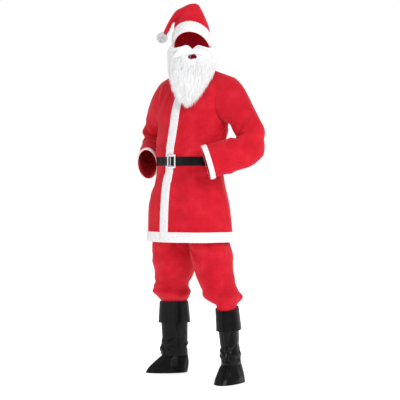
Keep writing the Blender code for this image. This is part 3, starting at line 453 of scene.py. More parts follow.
def wall_mesh(name, points, normals, inner, outer, around=False, holes=()):
    """The mesh of a closed sheet between two offsets along a grid's normals."""
    points = points - np.array((0.0, 0.0, ORIGIN_HEIGHT))
    rows, columns = points.shape[:2]
    inner = np.broadcast_to(np.asarray(inner, dtype=float), (rows, columns))[..., None]
    outer = np.broadcast_to(np.asarray(outer, dtype=float), (rows, columns))[..., None]
    outside = (points + normals * outer).reshape(-1, 3)
    inside = (points + normals * inner).reshape(-1, 3)
    count = rows * columns
    faces, edges = [], {}
    for r in range(rows - 1):
        for c in range(columns if around else columns - 1):
            if (r, c) in holes:
                continue
            d = (c + 1) % columns
            ring = (r * columns + c, r * columns + d, (r + 1) * columns + d, (r + 1) * columns + c)
            faces.append(ring)
            faces.append(tuple(v + count for v in reversed(ring)))
            for a, b in zip(ring, ring[1:] + ring[:1]):
                if (b, a) in edges:
                    del edges[(b, a)]
                else:
                    edges[(a, b)] = True
    faces += [(b, a, a + count, b + count) for a, b in edges]
    mesh = bpy.data.meshes.new(name)
    mesh.from_pydata(np.concatenate((outside, inside)).tolist(), [], faces)
    tidy = bmesh.new()
    tidy.from_mesh(mesh)
    bmesh.ops.delete(tidy, geom=[v for v in tidy.verts if not v.link_faces], context="VERTS")
    bmesh.ops.recalc_face_normals(tidy, faces=tidy.faces)
    tidy.to_mesh(mesh)
    tidy.free()
    return mesh


def cut_size(points, around=False):
    """Width, length and area of the flat cloth that a grid was cut from."""
    closed = np.concatenate((points, points[:, :1]), axis=1) if around else points
    across = np.linalg.norm(np.diff(closed, axis=1), axis=2)
    along = np.linalg.norm(np.diff(points, axis=0), axis=2)
    first = closed[1:, 1:] - closed[:-1, :-1]
    second = closed[1:, :-1] - closed[:-1, 1:]
    area = np.linalg.norm(np.cross(first, second), axis=2).sum() / 2
    width, length = across.sum(axis=1).max(), along.sum(axis=0).max()
    return round(float(width), 3), round(float(length), 3), float(min(area, width * length))


def sheet(name, points, normals, inner, outer, made_of, slot, around=False):
    """A finished sheet of cloth in the place of the solid of the same name."""
    mesh = wall_mesh(name, points, normals, inner, outer, around)
    thing = finished(name + "_cloth", mesh, made_of, (name,), slot)
    width, length, area = cut_size(points, around)
    area = min(max(area, 0.31 * width * length), width * length)
    print(f"{name}: cut {width:.3f} x {length:.3f} m, {area:.4f} m2, {len(mesh.polygons)} faces")
    return thing

# %% [markdown]
# ## Pile and hair by geometry nodes
# Pile is thousands of small cones. A node tree scatters points on a skin, stands one cone on
# each, tilts and scales it at random with a fixed seed, and makes the copies real, because
# copies that are only instances would be lost when the piece leaves Blender.

# %% The pile tree
def pile_tree():
    """Scatter leaning three-sided fibres over a mesh."""
    tree = bpy.data.node_groups.new("plush_pile", "GeometryNodeTree")
    face = tree.interface
    face.new_socket("Skin", in_out="INPUT", socket_type="NodeSocketGeometry")
    for label, value in (("Density", 1000.0), ("Length", 0.004), ("Radius", 0.0006), ("Lean", 0.4)):
        socket = face.new_socket(label, in_out="INPUT", socket_type="NodeSocketFloat")
        socket.default_value = value
    face.new_socket("Seed", in_out="INPUT", socket_type="NodeSocketInt")
    face.new_socket("Finish", in_out="INPUT", socket_type="NodeSocketMaterial")
    face.new_socket("Pile", in_out="OUTPUT", socket_type="NodeSocketGeometry")
    start = node(tree, "NodeGroupInput").outputs
    scatter = node(
        tree, "GeometryNodeDistributePointsOnFaces",
        links={"Mesh": start["Skin"], "Density": start["Density"], "Seed": start["Seed"]},
    )
    fibre = node(
        tree, "GeometryNodeMeshCone", {"Vertices": 3, "Radius Top": 0.0},
        {"Radius Bottom": start["Radius"], "Depth": start["Length"]}, fill_type="NONE",
    )
    low = node(tree, "ShaderNodeMath", links={0: start["Lean"]}, operation="MULTIPLY")
    low.inputs[1].default_value = -1.0
    floor_lean = node(tree, "ShaderNodeCombineXYZ", links={"X": low.outputs[0], "Y": low.outputs[0]})
    top_lean = node(tree, "ShaderNodeCombineXYZ", links={"X": start["Lean"], "Y": start["Lean"]})
    lean = node(
        tree, "FunctionNodeRandomValue",
        links={"Min": floor_lean.outputs[0], "Max": top_lean.outputs[0], "Seed": start["Seed"]},
        data_type="FLOAT_VECTOR",
    )
    tilt = node(tree, "FunctionNodeEulerToRotation", links={0: lean.outputs[0]})
    turned = node(
        tree, "FunctionNodeRotateRotation",
        links={"Rotation": scatter.outputs["Rotation"], "Rotate By": tilt.outputs[0]}, rotation_space="LOCAL",
    )
    size = node(tree, "FunctionNodeRandomValue", links={"Seed": start["Seed"]}, data_type="FLOAT")
    size.inputs[2].default_value = 0.6
    size.inputs[3].default_value = 1.25
    copies = node(
        tree, "GeometryNodeInstanceOnPoints",
        links={
            "Points": scatter.outputs["Points"], "Instance": fibre.outputs["Mesh"],
            "Rotation": turned.outputs[0], "Scale": size.outputs[1],
        },
    )
    real = node(tree, "GeometryNodeRealizeInstances", links={"Geometry": copies.outputs[0]})
    finish = node(
        tree, "GeometryNodeSetMaterial", links={"Geometry": real.outputs[0], "Material": start["Finish"]}
    )
    node(tree, "NodeGroupOutput", links={"Pile": finish.outputs[0]})
    return tree


plush_pile = pile_tree()


def run_tree(name, host, tree, **values):
    """Run a node tree on a helper object and keep its result as a plain mesh."""
    modifier = host.modifiers.new("grow", "NODES")
    modifier.node_group = tree
    for item in tree.interface.items_tree:
        if item.in_out == "INPUT" and item.name in values:
            modifier[item.identifier] = values[item.name]
    depsgraph = bpy.context.evaluated_depsgraph_get()
    mesh = bpy.data.meshes.new_from_object(host.evaluated_get(depsgraph))
    mesh.name = name
    host.modifiers.remove(modifier)
    old = host.data
    bpy.data.objects.remove(host, do_unlink=True)
    bpy.data.meshes.remove(old)
    return mesh


def skin_helper(points, normals, offset, around=False):
    """A helper object that holds one face of a sheet, facing out."""
    points = points - np.array((0.0, 0.0, ORIGIN_HEIGHT)) + normals * offset[..., None]
    rows, columns = points.shape[:2]
    faces = []
    for r in range(rows - 1):
        for c in range(columns if around else columns - 1):
            d = (c + 1) % columns
            faces.append((r * columns + c, r * columns + d, (r + 1) * columns + d, (r + 1) * columns + c))
    mesh = bpy.data.meshes.new("skin")
    mesh.from_pydata(points.reshape(-1, 3).tolist(), [], faces)
    first = mesh.polygons[0]
    if first.normal @ Vector(normals[0, 0]) < 0:
        mesh.flip_normals()
    helper = bpy.data.objects.new("skin", mesh)
    bpy.context.scene.collection.objects.link(helper)
    return helper


Pile = namedtuple("Pile", "density length radius lean")
TRIM_PILE = Pile(180000, 0.0032, 0.0007, 0.7)
BAND_PILE = Pile(210000, 0.0050, 0.0009, 0.8)
POMPOM_PILE = Pile(900000.0, 0.009, 0.0013, 0.35)


def grow_pile(name, helper, pile, seed):
    """White pile on the outer face of a trim, as one piece."""
    mesh = run_tree(
        name, helper, plush_pile, Density=pile.density, Length=pile.length, Radius=pile.radius,
        Lean=pile.lean, Seed=seed, Finish=white_plush,
    )
    mesh.materials.clear()
    finished(name, mesh, white_plush, (), "white_plush")
    print(f"{name}: {len(mesh.polygons)} faces")

# %% [markdown]
# ## Jacket body
# The jacket is cut as two fronts and a back that meet at side and shoulder seams. Below the
# arms it is a ring that changes with height, and above them a patch runs to the neckline and
# the armholes. The belt gathers it, so small folds leave the belt upwards and downwards.

# %% Jacket tables
HEM_STRIP_HEIGHT = 0.048
FRONT_STRIP_WIDTH = 0.050
CLOSURE_OFFSET = -0.018
UNDERARM_HEIGHT = 1.285
SIDE_SEAM_ANGLE = 100.0
BELT_LOW = 1.077
BELT_HIGH = 1.119
BodyRing = namedtuple("BodyRing", "height centre_y half_width half_depth")
BODY_RINGS = (
    BodyRing(0.715, -0.014, 0.220, 0.182),
    BodyRing(0.800, -0.020, 0.219, 0.174),
    BodyRing(0.900, -0.026, 0.212, 0.162),
    BodyRing(1.000, -0.017, 0.176, 0.156),
    BodyRing(1.055, -0.018, 0.171, 0.136),
    BodyRing(1.098, -0.018, 0.170, 0.135),
    BodyRing(1.150, -0.012, 0.180, 0.137),
    BodyRing(1.200, -0.005, 0.186, 0.132),
    BodyRing(1.285, 0.010, 0.190, 0.126),
)
BODY_FOLDS = (
    Crease(0.70, -158, 1.01, -150, 0.028, 0.007),
    Crease(0.70, -122, 0.98, -112, 0.024, -0.006),
    Crease(0.70, -88, 1.00, -80, 0.026, 0.007),
    Crease(0.72, -60, 0.97, -56, 0.022, -0.005),
    Crease(0.70, -36, 0.95, -34, 0.024, 0.004),
    Crease(0.70, 22, 0.98, 16, 0.026, -0.005),
    Crease(0.70, 46, 1.02, 34, 0.026, 0.006),
    Crease(0.70, 74, 0.99, 62, 0.022, -0.006),
    Crease(0.70, 102, 1.00, 92, 0.028, 0.007),
    Crease(0.70, 134, 0.98, 128, 0.024, -0.006),
    Crease(0.70, 168, 1.00, 163, 0.026, 0.006),
    Crease(1.135, -70, 1.165, -28, 0.016, 0.006),
    Crease(1.140, 24, 1.175, 66, 0.016, 0.006),
    Crease(1.150, 110, 1.140, 170, 0.016, 0.006),
    Crease(1.145, -165, 1.165, -112, 0.015, 0.005),
    Crease(1.19, 62, 1.27, 84, 0.018, -0.005),
    Crease(1.18, -64, 1.27, -84, 0.018, -0.005),
)
ARMHOLE_TOP = (0.205, 0.050, 1.500)
ARMHOLE_FRONT = (0.172, -0.045, 1.385)
ARMHOLE_BACK = (0.182, 0.120, 1.390)
NECK_SIDE = (0.085, 0.030, 1.545)
NECK_FRONT = (0.0, -0.035, 1.470)
NECK_BACK = (0.0, 0.098, 1.540)
CHEST_MIDDLE = (0.0, -0.088, 1.380)
BACK_MIDDLE = (0.0, 0.146, 1.415)
NECK_SHARE = 0.45
print("jacket rings", len(BODY_RINGS), "broad folds", len(BODY_FOLDS))

# %% Jacket surface
def body_point(angle, height):
    """Outer face of the jacket below the underarm, at an angle from the front."""
    centre_y, half_width, half_depth = sample(BODY_RINGS, height)
    turn = math.radians(angle)
    point = np.array((half_width * math.sin(turn), centre_y - half_depth * math.cos(turn), height))
    return point + compass(angle) * relief(height, angle, BODY_GIRTH, BODY_FOLDS)


def armhole_point(angle):
    """The left armhole: 0 at the shoulder, 90 in front, 180 under the arm, 270 behind."""
    top, front, back = (np.array(p) for p in (ARMHOLE_TOP, ARMHOLE_FRONT, ARMHOLE_BACK))
    bottom = body_point(SIDE_SEAM_ANGLE, UNDERARM_HEIGHT)
    turn = math.radians(angle)
    middle = (top + bottom + front + back) / 4
    pinch = (top + bottom - front - back) / 4
    return (
        middle
        + (top - bottom) / 2 * math.cos(turn)
        + (front - back) / 2 * math.sin(turn)
        + pinch * math.cos(2 * turn)
    )


def neck_curve(share, middle_point):
    """The neckline from its middle point to the neck's side point."""
    turn = math.radians(90 * share)
    side = np.array(NECK_SIDE)
    middle = np.array(middle_point)
    reach = side - middle
    return middle + np.array((reach[0] * math.sin(turn), *(reach[1:] * (1 - math.cos(turn)))))


def top_edge(share, middle_point):
    """Neckline and then shoulder line, from the middle of the body to the armhole."""
    if share <= NECK_SHARE:
        return neck_curve(share / NECK_SHARE, middle_point)
    along = (share - NECK_SHARE) / (1 - NECK_SHARE)
    return np.array(NECK_SIDE) * (1 - along) + np.array(ARMHOLE_TOP) * along


def yoke_point(share, rise, front):
    """Outer face above the underarm: share runs from the middle to the armhole, rise runs up."""
    mirror = -1 if share < 0 else 1
    share = abs(share)
    if front:
        angle, neck, middle = SIDE_SEAM_ANGLE * share, NECK_FRONT, CHEST_MIDDLE
        centre_bottom, edge = body_point(0, UNDERARM_HEIGHT), armhole_point(180 - 180 * rise)
    else:
        angle = 180 - (180 - SIDE_SEAM_ANGLE) * share
        neck, middle = NECK_BACK, BACK_MIDDLE
        centre_bottom, edge = body_point(180, UNDERARM_HEIGHT), armhole_point(180 + 180 * rise)
    centre_bottom[0] = 0.0
    lift = smooth_share(rise)
    pull = smooth_share(share)
    corner_low, corner_high = armhole_point(180), armhole_point(0)
    centre = three_point_curve(centre_bottom, middle, neck, rise)
    point = (1 - lift) * body_point(angle, UNDERARM_HEIGHT) + lift * top_edge(share, neck)
    point += (1 - pull) * (centre - (1 - lift) * centre_bottom - lift * np.array(neck))
    point += pull * (edge - (1 - lift) * corner_low - lift * corner_high)
    point[0] *= mirror
    return point


def front_shares(row):
    """Column places along one row of the two fronts, with columns at the front strip's edges."""
    pace = np.linalg.norm(row(0.02) - row(-0.02)) / 0.04
    right_edge = (CLOSURE_OFFSET - FRONT_STRIP_WIDTH / 2) / pace
    left_edge = (CLOSURE_OFFSET + FRONT_STRIP_WIDTH / 2) / pace
    return (
        steps(-1, -NECK_SHARE, 5)
        + steps(-NECK_SHARE, right_edge, 3)
        + [right_edge, CLOSURE_OFFSET / pace, left_edge]
        + steps(left_edge, NECK_SHARE, 4)[1:]
        + steps(NECK_SHARE, 1, 5)
        + [1]
    )


armhole_height = np.linalg.norm(armhole_point(0) - armhole_point(180))
print("armhole", round(float(armhole_height), 3), "m tall")

# %% [markdown]
# ### Folds of the jacket
# The broad folds come from the table above. These are the smaller ones: pulls from the left
# armhole down to the waist, the gathers over and under the belt, and quiet drag lines on the
# back that mirror them loosely. A mask keeps them off the belt itself.

# %% Jacket folds
JACKET_CREASES = (
    Crease(1.262, 92, 1.175, 48, 0.009, 0.005),
    Crease(1.245, 96, 1.155, 64, 0.008, -0.005),
    Crease(1.215, 100, 1.140, 80, 0.008, 0.005),
    Crease(1.275, 80, 1.215, 44, 0.010, -0.003),
    Crease(1.262, -92, 1.190, -52, 0.009, 0.004),
    Crease(1.235, -98, 1.160, -70, 0.008, -0.004),
    Crease(1.205, -102, 1.145, -84, 0.008, 0.004),
    Crease(1.250, 112, 1.180, 142, 0.010, 0.004),
    Crease(1.225, 118, 1.150, 150, 0.009, -0.004),
    Crease(1.255, -114, 1.185, -146, 0.010, 0.004),
    Crease(1.210, -120, 1.150, -152, 0.009, -0.004),
    Crease(1.060, 8, 0.900, 34, 0.012, 0.0045),
    Crease(1.045, 20, 0.930, 40, 0.010, -0.0035),
    Crease(1.062, 52, 0.960, 60, 0.010, 0.004),
    Crease(1.065, -24, 0.940, -46, 0.011, 0.004),
    Crease(1.060, -58, 0.960, -70, 0.010, -0.004),
    Crease(1.060, 130, 0.930, 144, 0.011, 0.004),
    Crease(1.062, 176, 0.960, -176, 0.011, -0.004),
    Crease(1.058, -132, 0.930, -140, 0.011, 0.004),
    Crease(0.960, 78, 0.770, 88, 0.012, 0.0045),
    Crease(0.900, 52, 0.780, 48, 0.014, -0.003),
    Crease(0.920, -74, 0.770, -80, 0.012, -0.004),
)
GATHER_COUNT = 46
BELT_CLEAR = 0.006


def belt_gathers():
    """Short folds that leave the belt, unevenly spaced, from a fixed seed."""
    chance = np.random.default_rng(31)
    folds = []
    for k in range(GATHER_COUNT):
        angle = 360 * k / GATHER_COUNT + chance.uniform(-3.0, 3.0)
        rise = chance.uniform(0.0012, 0.0032) * (1 if k % 2 else -1)
        width = chance.uniform(0.005, 0.009)
        length = chance.uniform(0.020, 0.060)
        lean = chance.uniform(-5, 5)
        if k % 3:
            folds.append(Crease(BELT_HIGH + 0.004, angle, BELT_HIGH + length, angle + lean, width, rise))
        if k % 4 != 1:
            folds.append(Crease(BELT_LOW - length, angle + lean, BELT_LOW - 0.004, angle, width, rise))
    return tuple(folds)


FINE_FOLDS = JACKET_CREASES + belt_gathers()


def fine_jacket_rise(height, angle):
    """The small folds' rise, nothing under the belt."""
    middle = (BELT_LOW + BELT_HIGH) / 2
    half = (BELT_HIGH - BELT_LOW) / 2
    clear = (abs(height - middle) - half) / BELT_CLEAR
    return relief(height, angle, BODY_GIRTH, FINE_FOLDS) * smooth_share(clear)


def jacket_ring_point(angle, height):
    """The jacket below the arms with every fold on it."""
    return body_point(angle, height) + compass(angle) * fine_jacket_rise(height, angle)


print("small jacket folds", len(FINE_FOLDS))

# %% [markdown]
# ### Grids of the jacket
# The columns follow the front strip's edges, so that the strip can be made from the same
# points, moved out. The fronts and the back share their points along every seam.

# %% Jacket grids
SPLIT = 6
BACK_STEPS = steps(1, NECK_SHARE, 5) + steps(NECK_SHARE, -NECK_SHARE, 6) + steps(-NECK_SHARE, -1, 5) + [-1]
HEM_LOW = 0.715
ring_heights = (
    spread(HEM_LOW, HEM_LOW + HEM_STRIP_HEIGHT, 0.008)[:-1]
    + spread(HEM_LOW + HEM_STRIP_HEIGHT, BELT_LOW, 0.0075)[:-1]
    + spread(BELT_LOW, BELT_HIGH, 0.007)[:-1]
    + spread(BELT_HIGH, UNDERARM_HEIGHT, 0.0065)
)
hem_rows = len(spread(HEM_LOW, HEM_LOW + HEM_STRIP_HEIGHT, 0.008))
belt_first = ring_heights.index(BELT_LOW)
belt_last = ring_heights.index(BELT_HIGH)
YOKE_STEP_COUNT = 40
SHOULDER_COLUMNS = 5 * SPLIT + 1

back_shares = refined(BACK_STEPS, SPLIT)
back_angles = [180 - (180 - SIDE_SEAM_ANGLE) * s for s in back_shares]
front, back = [], []
for height in ring_heights:
    def ring(share, height=height):
        return jacket_ring_point(SIDE_SEAM_ANGLE * share, height)
    front.append([ring(s) for s in refined(front_shares(ring), SPLIT)])
    back.append([jacket_ring_point(angle, height) for angle in back_angles])
front_angles = [SIDE_SEAM_ANGLE * s for s in refined(front_shares(ring), SPLIT)]
front_fade, back_fade = (
    np.array([fine_jacket_rise(UNDERARM_HEIGHT, angle) for angle in angles])
    for angles in (front_angles, back_angles)
)
for step in range(1, YOKE_STEP_COUNT + 1):
    def yoke(share, rise=step / YOKE_STEP_COUNT):
        return yoke_point(share, rise, True)
    front.append([yoke(s) for s in refined(front_shares(yoke), SPLIT)])
    back.append([yoke_point(s, step / YOKE_STEP_COUNT, False) for s in back_shares])
front, back = np.array(front), np.array(back)
print("jacket grids", front.shape, back.shape)

# %% Blend the folds into the yoke and share the seam normals
FADE_ROWS = 9
EDGE_EASE = 6

front_normals, back_normals = grid_normals(front), grid_normals(back)
base_row = len(ring_heights) - 1
for grid, normals, fade in ((front, front_normals, front_fade), (back, back_normals, back_fade)):
    places = np.arange(grid.shape[1])
    edge_ease = np.minimum(np.minimum(places, places[::-1]) / EDGE_EASE, 1.0)
    for k in range(1, FADE_ROWS):
        share = (1 - smooth_share(k / FADE_ROWS)) * edge_ease
        grid[base_row + k] += normals[base_row + k] * (fade * share)[:, None]

YOKE_CREASES = (
    # row share, column share, row share, column share, width in shares, rise in metres
    (0.05, 0.86, 0.55, 0.80, 0.035, -0.004),
    (0.10, 0.92, 0.70, 0.90, 0.030, 0.004),
    (0.15, 0.72, 0.80, 0.74, 0.040, 0.003),
    (0.05, 0.14, 0.55, 0.20, 0.035, -0.004),
    (0.10, 0.08, 0.70, 0.10, 0.030, 0.004),
    (0.20, 0.30, 0.75, 0.27, 0.040, 0.003),
    (0.75, 0.64, 0.95, 0.80, 0.030, -0.003),
    (0.78, 0.36, 0.95, 0.20, 0.030, -0.003),
)


def yoke_rise(row_share, column_share):
    """Rise of the soft drag lines over the chest and the shoulders."""
    total = 0.0
    point = np.array((row_share, column_share))
    for low, low_column, high, high_column, width, rise in YOKE_CREASES:
        start, end = np.array((low, low_column)), np.array((high, high_column))
        segment = end - start
        share = min(max((point - start) @ segment / (segment @ segment), 0.0), 1.0)
        offset = point - start - share * segment
        total += rise * math.exp(-(offset @ offset) / width ** 2)
    return total


for grid, normals in ((front, front_normals), (back, back_normals)):
    columns = grid.shape[1]
    for k in range(1, YOKE_STEP_COUNT):
        for c in range(2, columns - 2):
            fade = smooth_share(min(c, columns - 1 - c) / 8) * smooth_share(k / 5)
            rise = yoke_rise(k / YOKE_STEP_COUNT, c / (columns - 1))
            grid[base_row + k, c] += normals[base_row + k, c] * rise * fade

front_normals, back_normals = grid_normals(front), grid_normals(back)
for one, other in (
    (front_normals[: base_row + 1, -1], back_normals[: base_row + 1, 0]),
    (front_normals[: base_row + 1, 0], back_normals[: base_row + 1, -1]),
    (front_normals[-1, -SHOULDER_COLUMNS:], back_normals[-1, :SHOULDER_COLUMNS][::-1]),
    (front_normals[-1, :SHOULDER_COLUMNS], back_normals[-1, -SHOULDER_COLUMNS:][::-1]),
):
    shared = one + other
    shared = shared / np.linalg.norm(shared, axis=1, keepdims=True)
    one[:] = shared
    other[:] = shared


print("yoke creases", len(YOKE_CREASES))

# %% [markdown]
# ### Sewing the body up
# The closure lies under the front strip. Each panel is drawn back a hair from its seams,
# which leaves the fine dark line that a seam shows.

# %% Jacket panels
CLOSURE = 9 * SPLIT
STRIP_RIGHT = 8 * SPLIT
STRIP_LEFT = 10 * SPLIT
sides = ("first_column", "last_column", "last_row")
sheet(
    "jacket_right_front", drawn_back(front[:, : CLOSURE + 1], sides), front_normals[:, : CLOSURE + 1],
    -JACKET_CLOTH, 0, red_felt, "red_felt",
)
sheet(
    "jacket_left_front", drawn_back(front[:, CLOSURE:], sides), front_normals[:, CLOSURE:],
    -JACKET_CLOTH, 0, red_felt, "red_felt",
)
sheet(
    "jacket_back", drawn_back(back, sides), back_normals, -JACKET_CLOTH, 0, red_felt, "red_felt",
)

# %% [markdown]
# ### White trims of the jacket
# The front strip runs from the neckline over the hem strip to the lower edge, and both are
# made from the jacket's own points, moved out by the thickness of the plush. Their long
# edges are rounded, as turned edges of thick pile are.

# %% Front strip and hem strip
TRIM_ROUND = 0.35


def rounded_edges(count, thin):
    """Thickness shares across a trim: thin at both edges, full between them."""
    shares = np.linspace(-1, 1, count)
    return thin + (1 - thin) * (1 - np.abs(shares) ** 6)


strip = slice(STRIP_RIGHT, STRIP_LEFT + 1)
strip_points, strip_normals = front[:, strip], front_normals[:, strip]
across = rounded_edges(strip_points.shape[1], TRIM_ROUND)[None, :]
strip_outer = SEAM_GAP + PLUSH * across
sheet(
    "front_strip", strip_points, strip_normals, SEAM_GAP, strip_outer, white_plush, "white_plush",
)
rows = slice(0, hem_rows)
hem_points = np.concatenate(
    (front[rows, STRIP_LEFT:-1], back[rows], front[rows, 1 : STRIP_RIGHT + 1]), axis=1,
)
hem_normals = np.concatenate(
    (front_normals[rows, STRIP_LEFT:-1], back_normals[rows], front_normals[rows, 1 : STRIP_RIGHT + 1]), axis=1
)
hem_points = drawn_back(hem_points, ("first_column", "last_column"), SEAM_GAP)
hem_outer = SEAM_GAP + PLUSH * rounded_edges(hem_rows, TRIM_ROUND)[:, None]
sheet(
    "hem_strip", hem_points, hem_normals, SEAM_GAP, hem_outer, white_plush, "white_plush",
)

# %% Pile on the trims
grow_pile("front_strip_pile", skin_helper(strip_points, strip_normals, strip_outer), TRIM_PILE, 3)
grow_pile("hem_strip_pile", skin_helper(hem_points, hem_normals, hem_outer), TRIM_PILE, 4)

# %% [markdown]
# ## Belt and buckle
# The strap is one long strip of PVC, made from the jacket's points at belt height and moved
# out, with its free end lapped over itself. The buckle is a stamped frame with rounded bars:
# the strap passes behind its side bars and over a thin middle bar.

# %% Belt strap
BUCKLE_WIDTH = 0.050
BUCKLE_HEIGHT = 0.066
BUCKLE_BAR = 0.009
BUCKLE_DEPTH = 0.003
BELT_LAP = 2 * SPLIT
BELT_EDGE = 0.55

belt_rows = slice(belt_first, belt_last + 1)
belt_ring = np.concatenate((front[belt_rows, :-1], back[belt_rows, :-1]), axis=1)
belt_facing = np.concatenate((front_normals[belt_rows, :-1], back_normals[belt_rows, :-1]), axis=1)
belt_start = STRIP_LEFT + SPLIT
belt_count = belt_ring.shape[1]
belt_order = [(belt_start + k) % belt_count for k in range(belt_count + BELT_LAP + 1)]
over_strip = 2 * SEAM_GAP + PLUSH
belt_base = np.full(len(belt_order), 2 * SEAM_GAP)
for k, column in enumerate(belt_order):
    if STRIP_RIGHT - 2 <= column <= STRIP_LEFT + 2:
        reach = min(column - STRIP_RIGHT + 2, STRIP_LEFT + 2 - column) / 4
        belt_base[k] += (over_strip - 2 * SEAM_GAP) * smooth_share(reach)
for k in range(BELT_LAP + 1 + SPLIT):
    lift = smooth_share(k / SPLIT) * (BELT_CLOTH + SEAM_GAP)
    belt_base[len(belt_order) - BELT_LAP - 1 - SPLIT + k] += lift
belt_points = np.stack([belt_ring[:, c] for c in belt_order], axis=1)
belt_normals = np.stack([belt_facing[:, c] for c in belt_order], axis=1)
belt_thick = BELT_CLOTH * rounded_edges(belt_points.shape[0], BELT_EDGE)[:, None]
belt_mesh = wall_mesh(
    "belt_strap", belt_points, belt_normals, belt_base[None, :], belt_base[None, :] + belt_thick,
)
finished("belt_strap_pvc", belt_mesh, belt_vinyl, ("belt_strap",), "black_vinyl")
print("belt strap faces", len(belt_mesh.polygons))

# %% Buckle frame
def bar_profile(count):
    """Half width and height of a bar's rounded section, from its outer to its inner edge."""
    turns = np.linspace(0, math.pi, count)
    return -np.cos(turns), np.sin(turns)


def rounded_frame(width, height, corner, count):
    """Points round a rectangle with round corners, anticlockwise from the right."""
    points = []
    for k, (x, z) in enumerate(((1, 1), (-1, 1), (-1, -1), (1, -1))):
        centre = (x * (width / 2 - corner), z * (height / 2 - corner))
        for step in range(count + 1):
            angle = math.radians(90 * k + 90 * step / count)
            points.append((centre[0] + corner * math.cos(angle), centre[1] + corner * math.sin(angle)))
    return np.array(points)


belt_middle = (BELT_LOW + BELT_HIGH) / 2
face_line = front[(belt_first + belt_last) // 2, STRIP_RIGHT - 6 : STRIP_LEFT + 8]
face_out = front_normals[(belt_first + belt_last) // 2, STRIP_RIGHT - 6 : STRIP_LEFT + 8]
buckle_seat = over_strip + BELT_CLOTH + 3 * SEAM_GAP


def buckle_point(x, z, out):
    """A point of the buckle: across, up from its middle, and out from its seat."""
    place = [np.interp(x, face_line[:, 0], face_line[:, axis]) for axis in (0, 1)]
    facing = unit([np.interp(x, face_line[:, 0], face_out[:, axis]) for axis in (0, 1)] + [0.0])
    spot = np.array((place[0], place[1], belt_middle + z)) + facing * (buckle_seat + out)
    return spot - np.array((0, 0, ORIGIN_HEIGHT))


BUCKLE_CORNER = 0.007
SECTION = 7
BAR_SHIFT = 0.004
BAR_FACES = (0.0002, 0.0018)
outer_loop = rounded_frame(BUCKLE_WIDTH, BUCKLE_HEIGHT, BUCKLE_CORNER, 6)
inner_loop = rounded_frame(BUCKLE_WIDTH - 2 * BUCKLE_BAR, BUCKLE_HEIGHT - 2 * BUCKLE_BAR, 0.0025, 6)
middle_bar = rounded_frame(0.004, BUCKLE_HEIGHT - 2 * BUCKLE_BAR + 0.002, 0.0015, 3)
buckle = bmesh.new()
shares, heights = bar_profile(SECTION)
loops = []
for share, rise in zip(shares, heights):
    mix = (share + 1) / 2
    ring = outer_loop * (1 - mix) + inner_loop * mix
    depth = BUCKLE_DEPTH * (0.35 + 0.65 * rise)
    loops.append([buckle.verts.new(buckle_point(x, z, depth)) for x, z in ring])
for edge in (inner_loop, outer_loop):
    loops.append([buckle.verts.new(buckle_point(x, z, 0.0)) for x, z in edge])
count = len(outer_loop)
for one, other in zip(loops, loops[1:] + loops[:1]):
    for k in range(count):
        d = (k + 1) % count
        buckle.faces.new((one[k], one[d], other[d], other[k]))
low_ring, high_ring = (
    [buckle.verts.new(buckle_point(x - BAR_SHIFT, z, out)) for x, z in middle_bar] for out in BAR_FACES
)
buckle.faces.new(low_ring)
buckle.faces.new(high_ring)
for k in range(len(middle_bar)):
    d = (k + 1) % len(middle_bar)
    buckle.faces.new((low_ring[k], low_ring[d], high_ring[d], high_ring[k]))
bmesh.ops.recalc_face_normals(buckle, faces=buckle.faces)
buckle_mesh = bpy.data.meshes.new("belt_buckle")
buckle.to_mesh(buckle_mesh)
buckle.free()
finished("belt_buckle_plated", buckle_mesh, bright_plate, ("belt_buckle",), "silver_metal")
print("buckle faces", len(buckle_mesh.polygons))

# %% [markdown]
# ## Sleeves
# A sleeve is a tube along a bent arm: two straight runs joined by an arc at the elbow. Its
# head starts on the armhole and leaves it smoothly. Inside the elbow the cloth has nowhere
# to go, so it packs into short folds that fan out and die away over the outer side.

# %% Sleeve tables
Arm = namedtuple("Arm", "shoulder elbow cuff side")
LEFT_ARM = Arm((0.190, 0.040, 1.430), (0.374, 0.030, 1.164), (0.192, -0.140, 1.090), 1)
RIGHT_ARM = Arm((-0.197, 0.040, 1.430), (-0.335, 0.135, 1.198), (-0.214, -0.080, 1.087), -1)
ELBOW_BEND = 0.076
SLEEVE_START = 0.155
SLEEVE_LEAVE = (0.90, 0.0, -0.43)
SLEEVE_PULL = 0.8
ARMHOLE_GAP = 0.0004
CUFF_STRIP_WIDTH = 0.024
ArmRing = namedtuple("ArmRing", "share tall flat")
ARM_RINGS = {
    1: (
        ArmRing(0.00, 0.080, 0.080),
        ArmRing(0.28, 0.069, 0.070),
        ArmRing(0.45, 0.068, 0.064),
        ArmRing(0.60, 0.076, 0.057),
        ArmRing(0.80, 0.078, 0.052),
        ArmRing(1.00, 0.077, 0.046),
    ),
    -1: (
        ArmRing(0.00, 0.086, 0.080),
        ArmRing(0.30, 0.078, 0.074),
        ArmRing(0.50, 0.067, 0.064),
        ArmRing(0.65, 0.064, 0.061),
        ArmRing(0.80, 0.070, 0.058),
        ArmRing(1.00, 0.076, 0.046),
    ),
}
SLEEVE_CREASES = {
    1: (
        Crease(0.18, 60, 0.24, 120, 0.013, -0.007),
        Crease(0.21, 50, 0.25, 100, 0.012, 0.006),
        Crease(0.26, -70, 0.30, 20, 0.014, -0.006),
        Crease(0.31, -60, 0.33, 40, 0.013, 0.006),
        Crease(0.36, 100, 0.40, 170, 0.014, -0.006),
        Crease(0.40, -150, 0.44, -60, 0.014, 0.005),
    ),
    -1: (
        Crease(0.17, 70, 0.23, 130, 0.013, -0.007),
        Crease(0.21, 40, 0.25, 95, 0.012, 0.006),
        Crease(0.27, -80, 0.31, 10, 0.014, -0.006),
        Crease(0.33, -50, 0.35, 40, 0.013, 0.005),
        Crease(0.37, 90, 0.41, 160, 0.014, -0.006),
        Crease(0.41, -160, 0.44, -70, 0.014, 0.005),
    ),
}
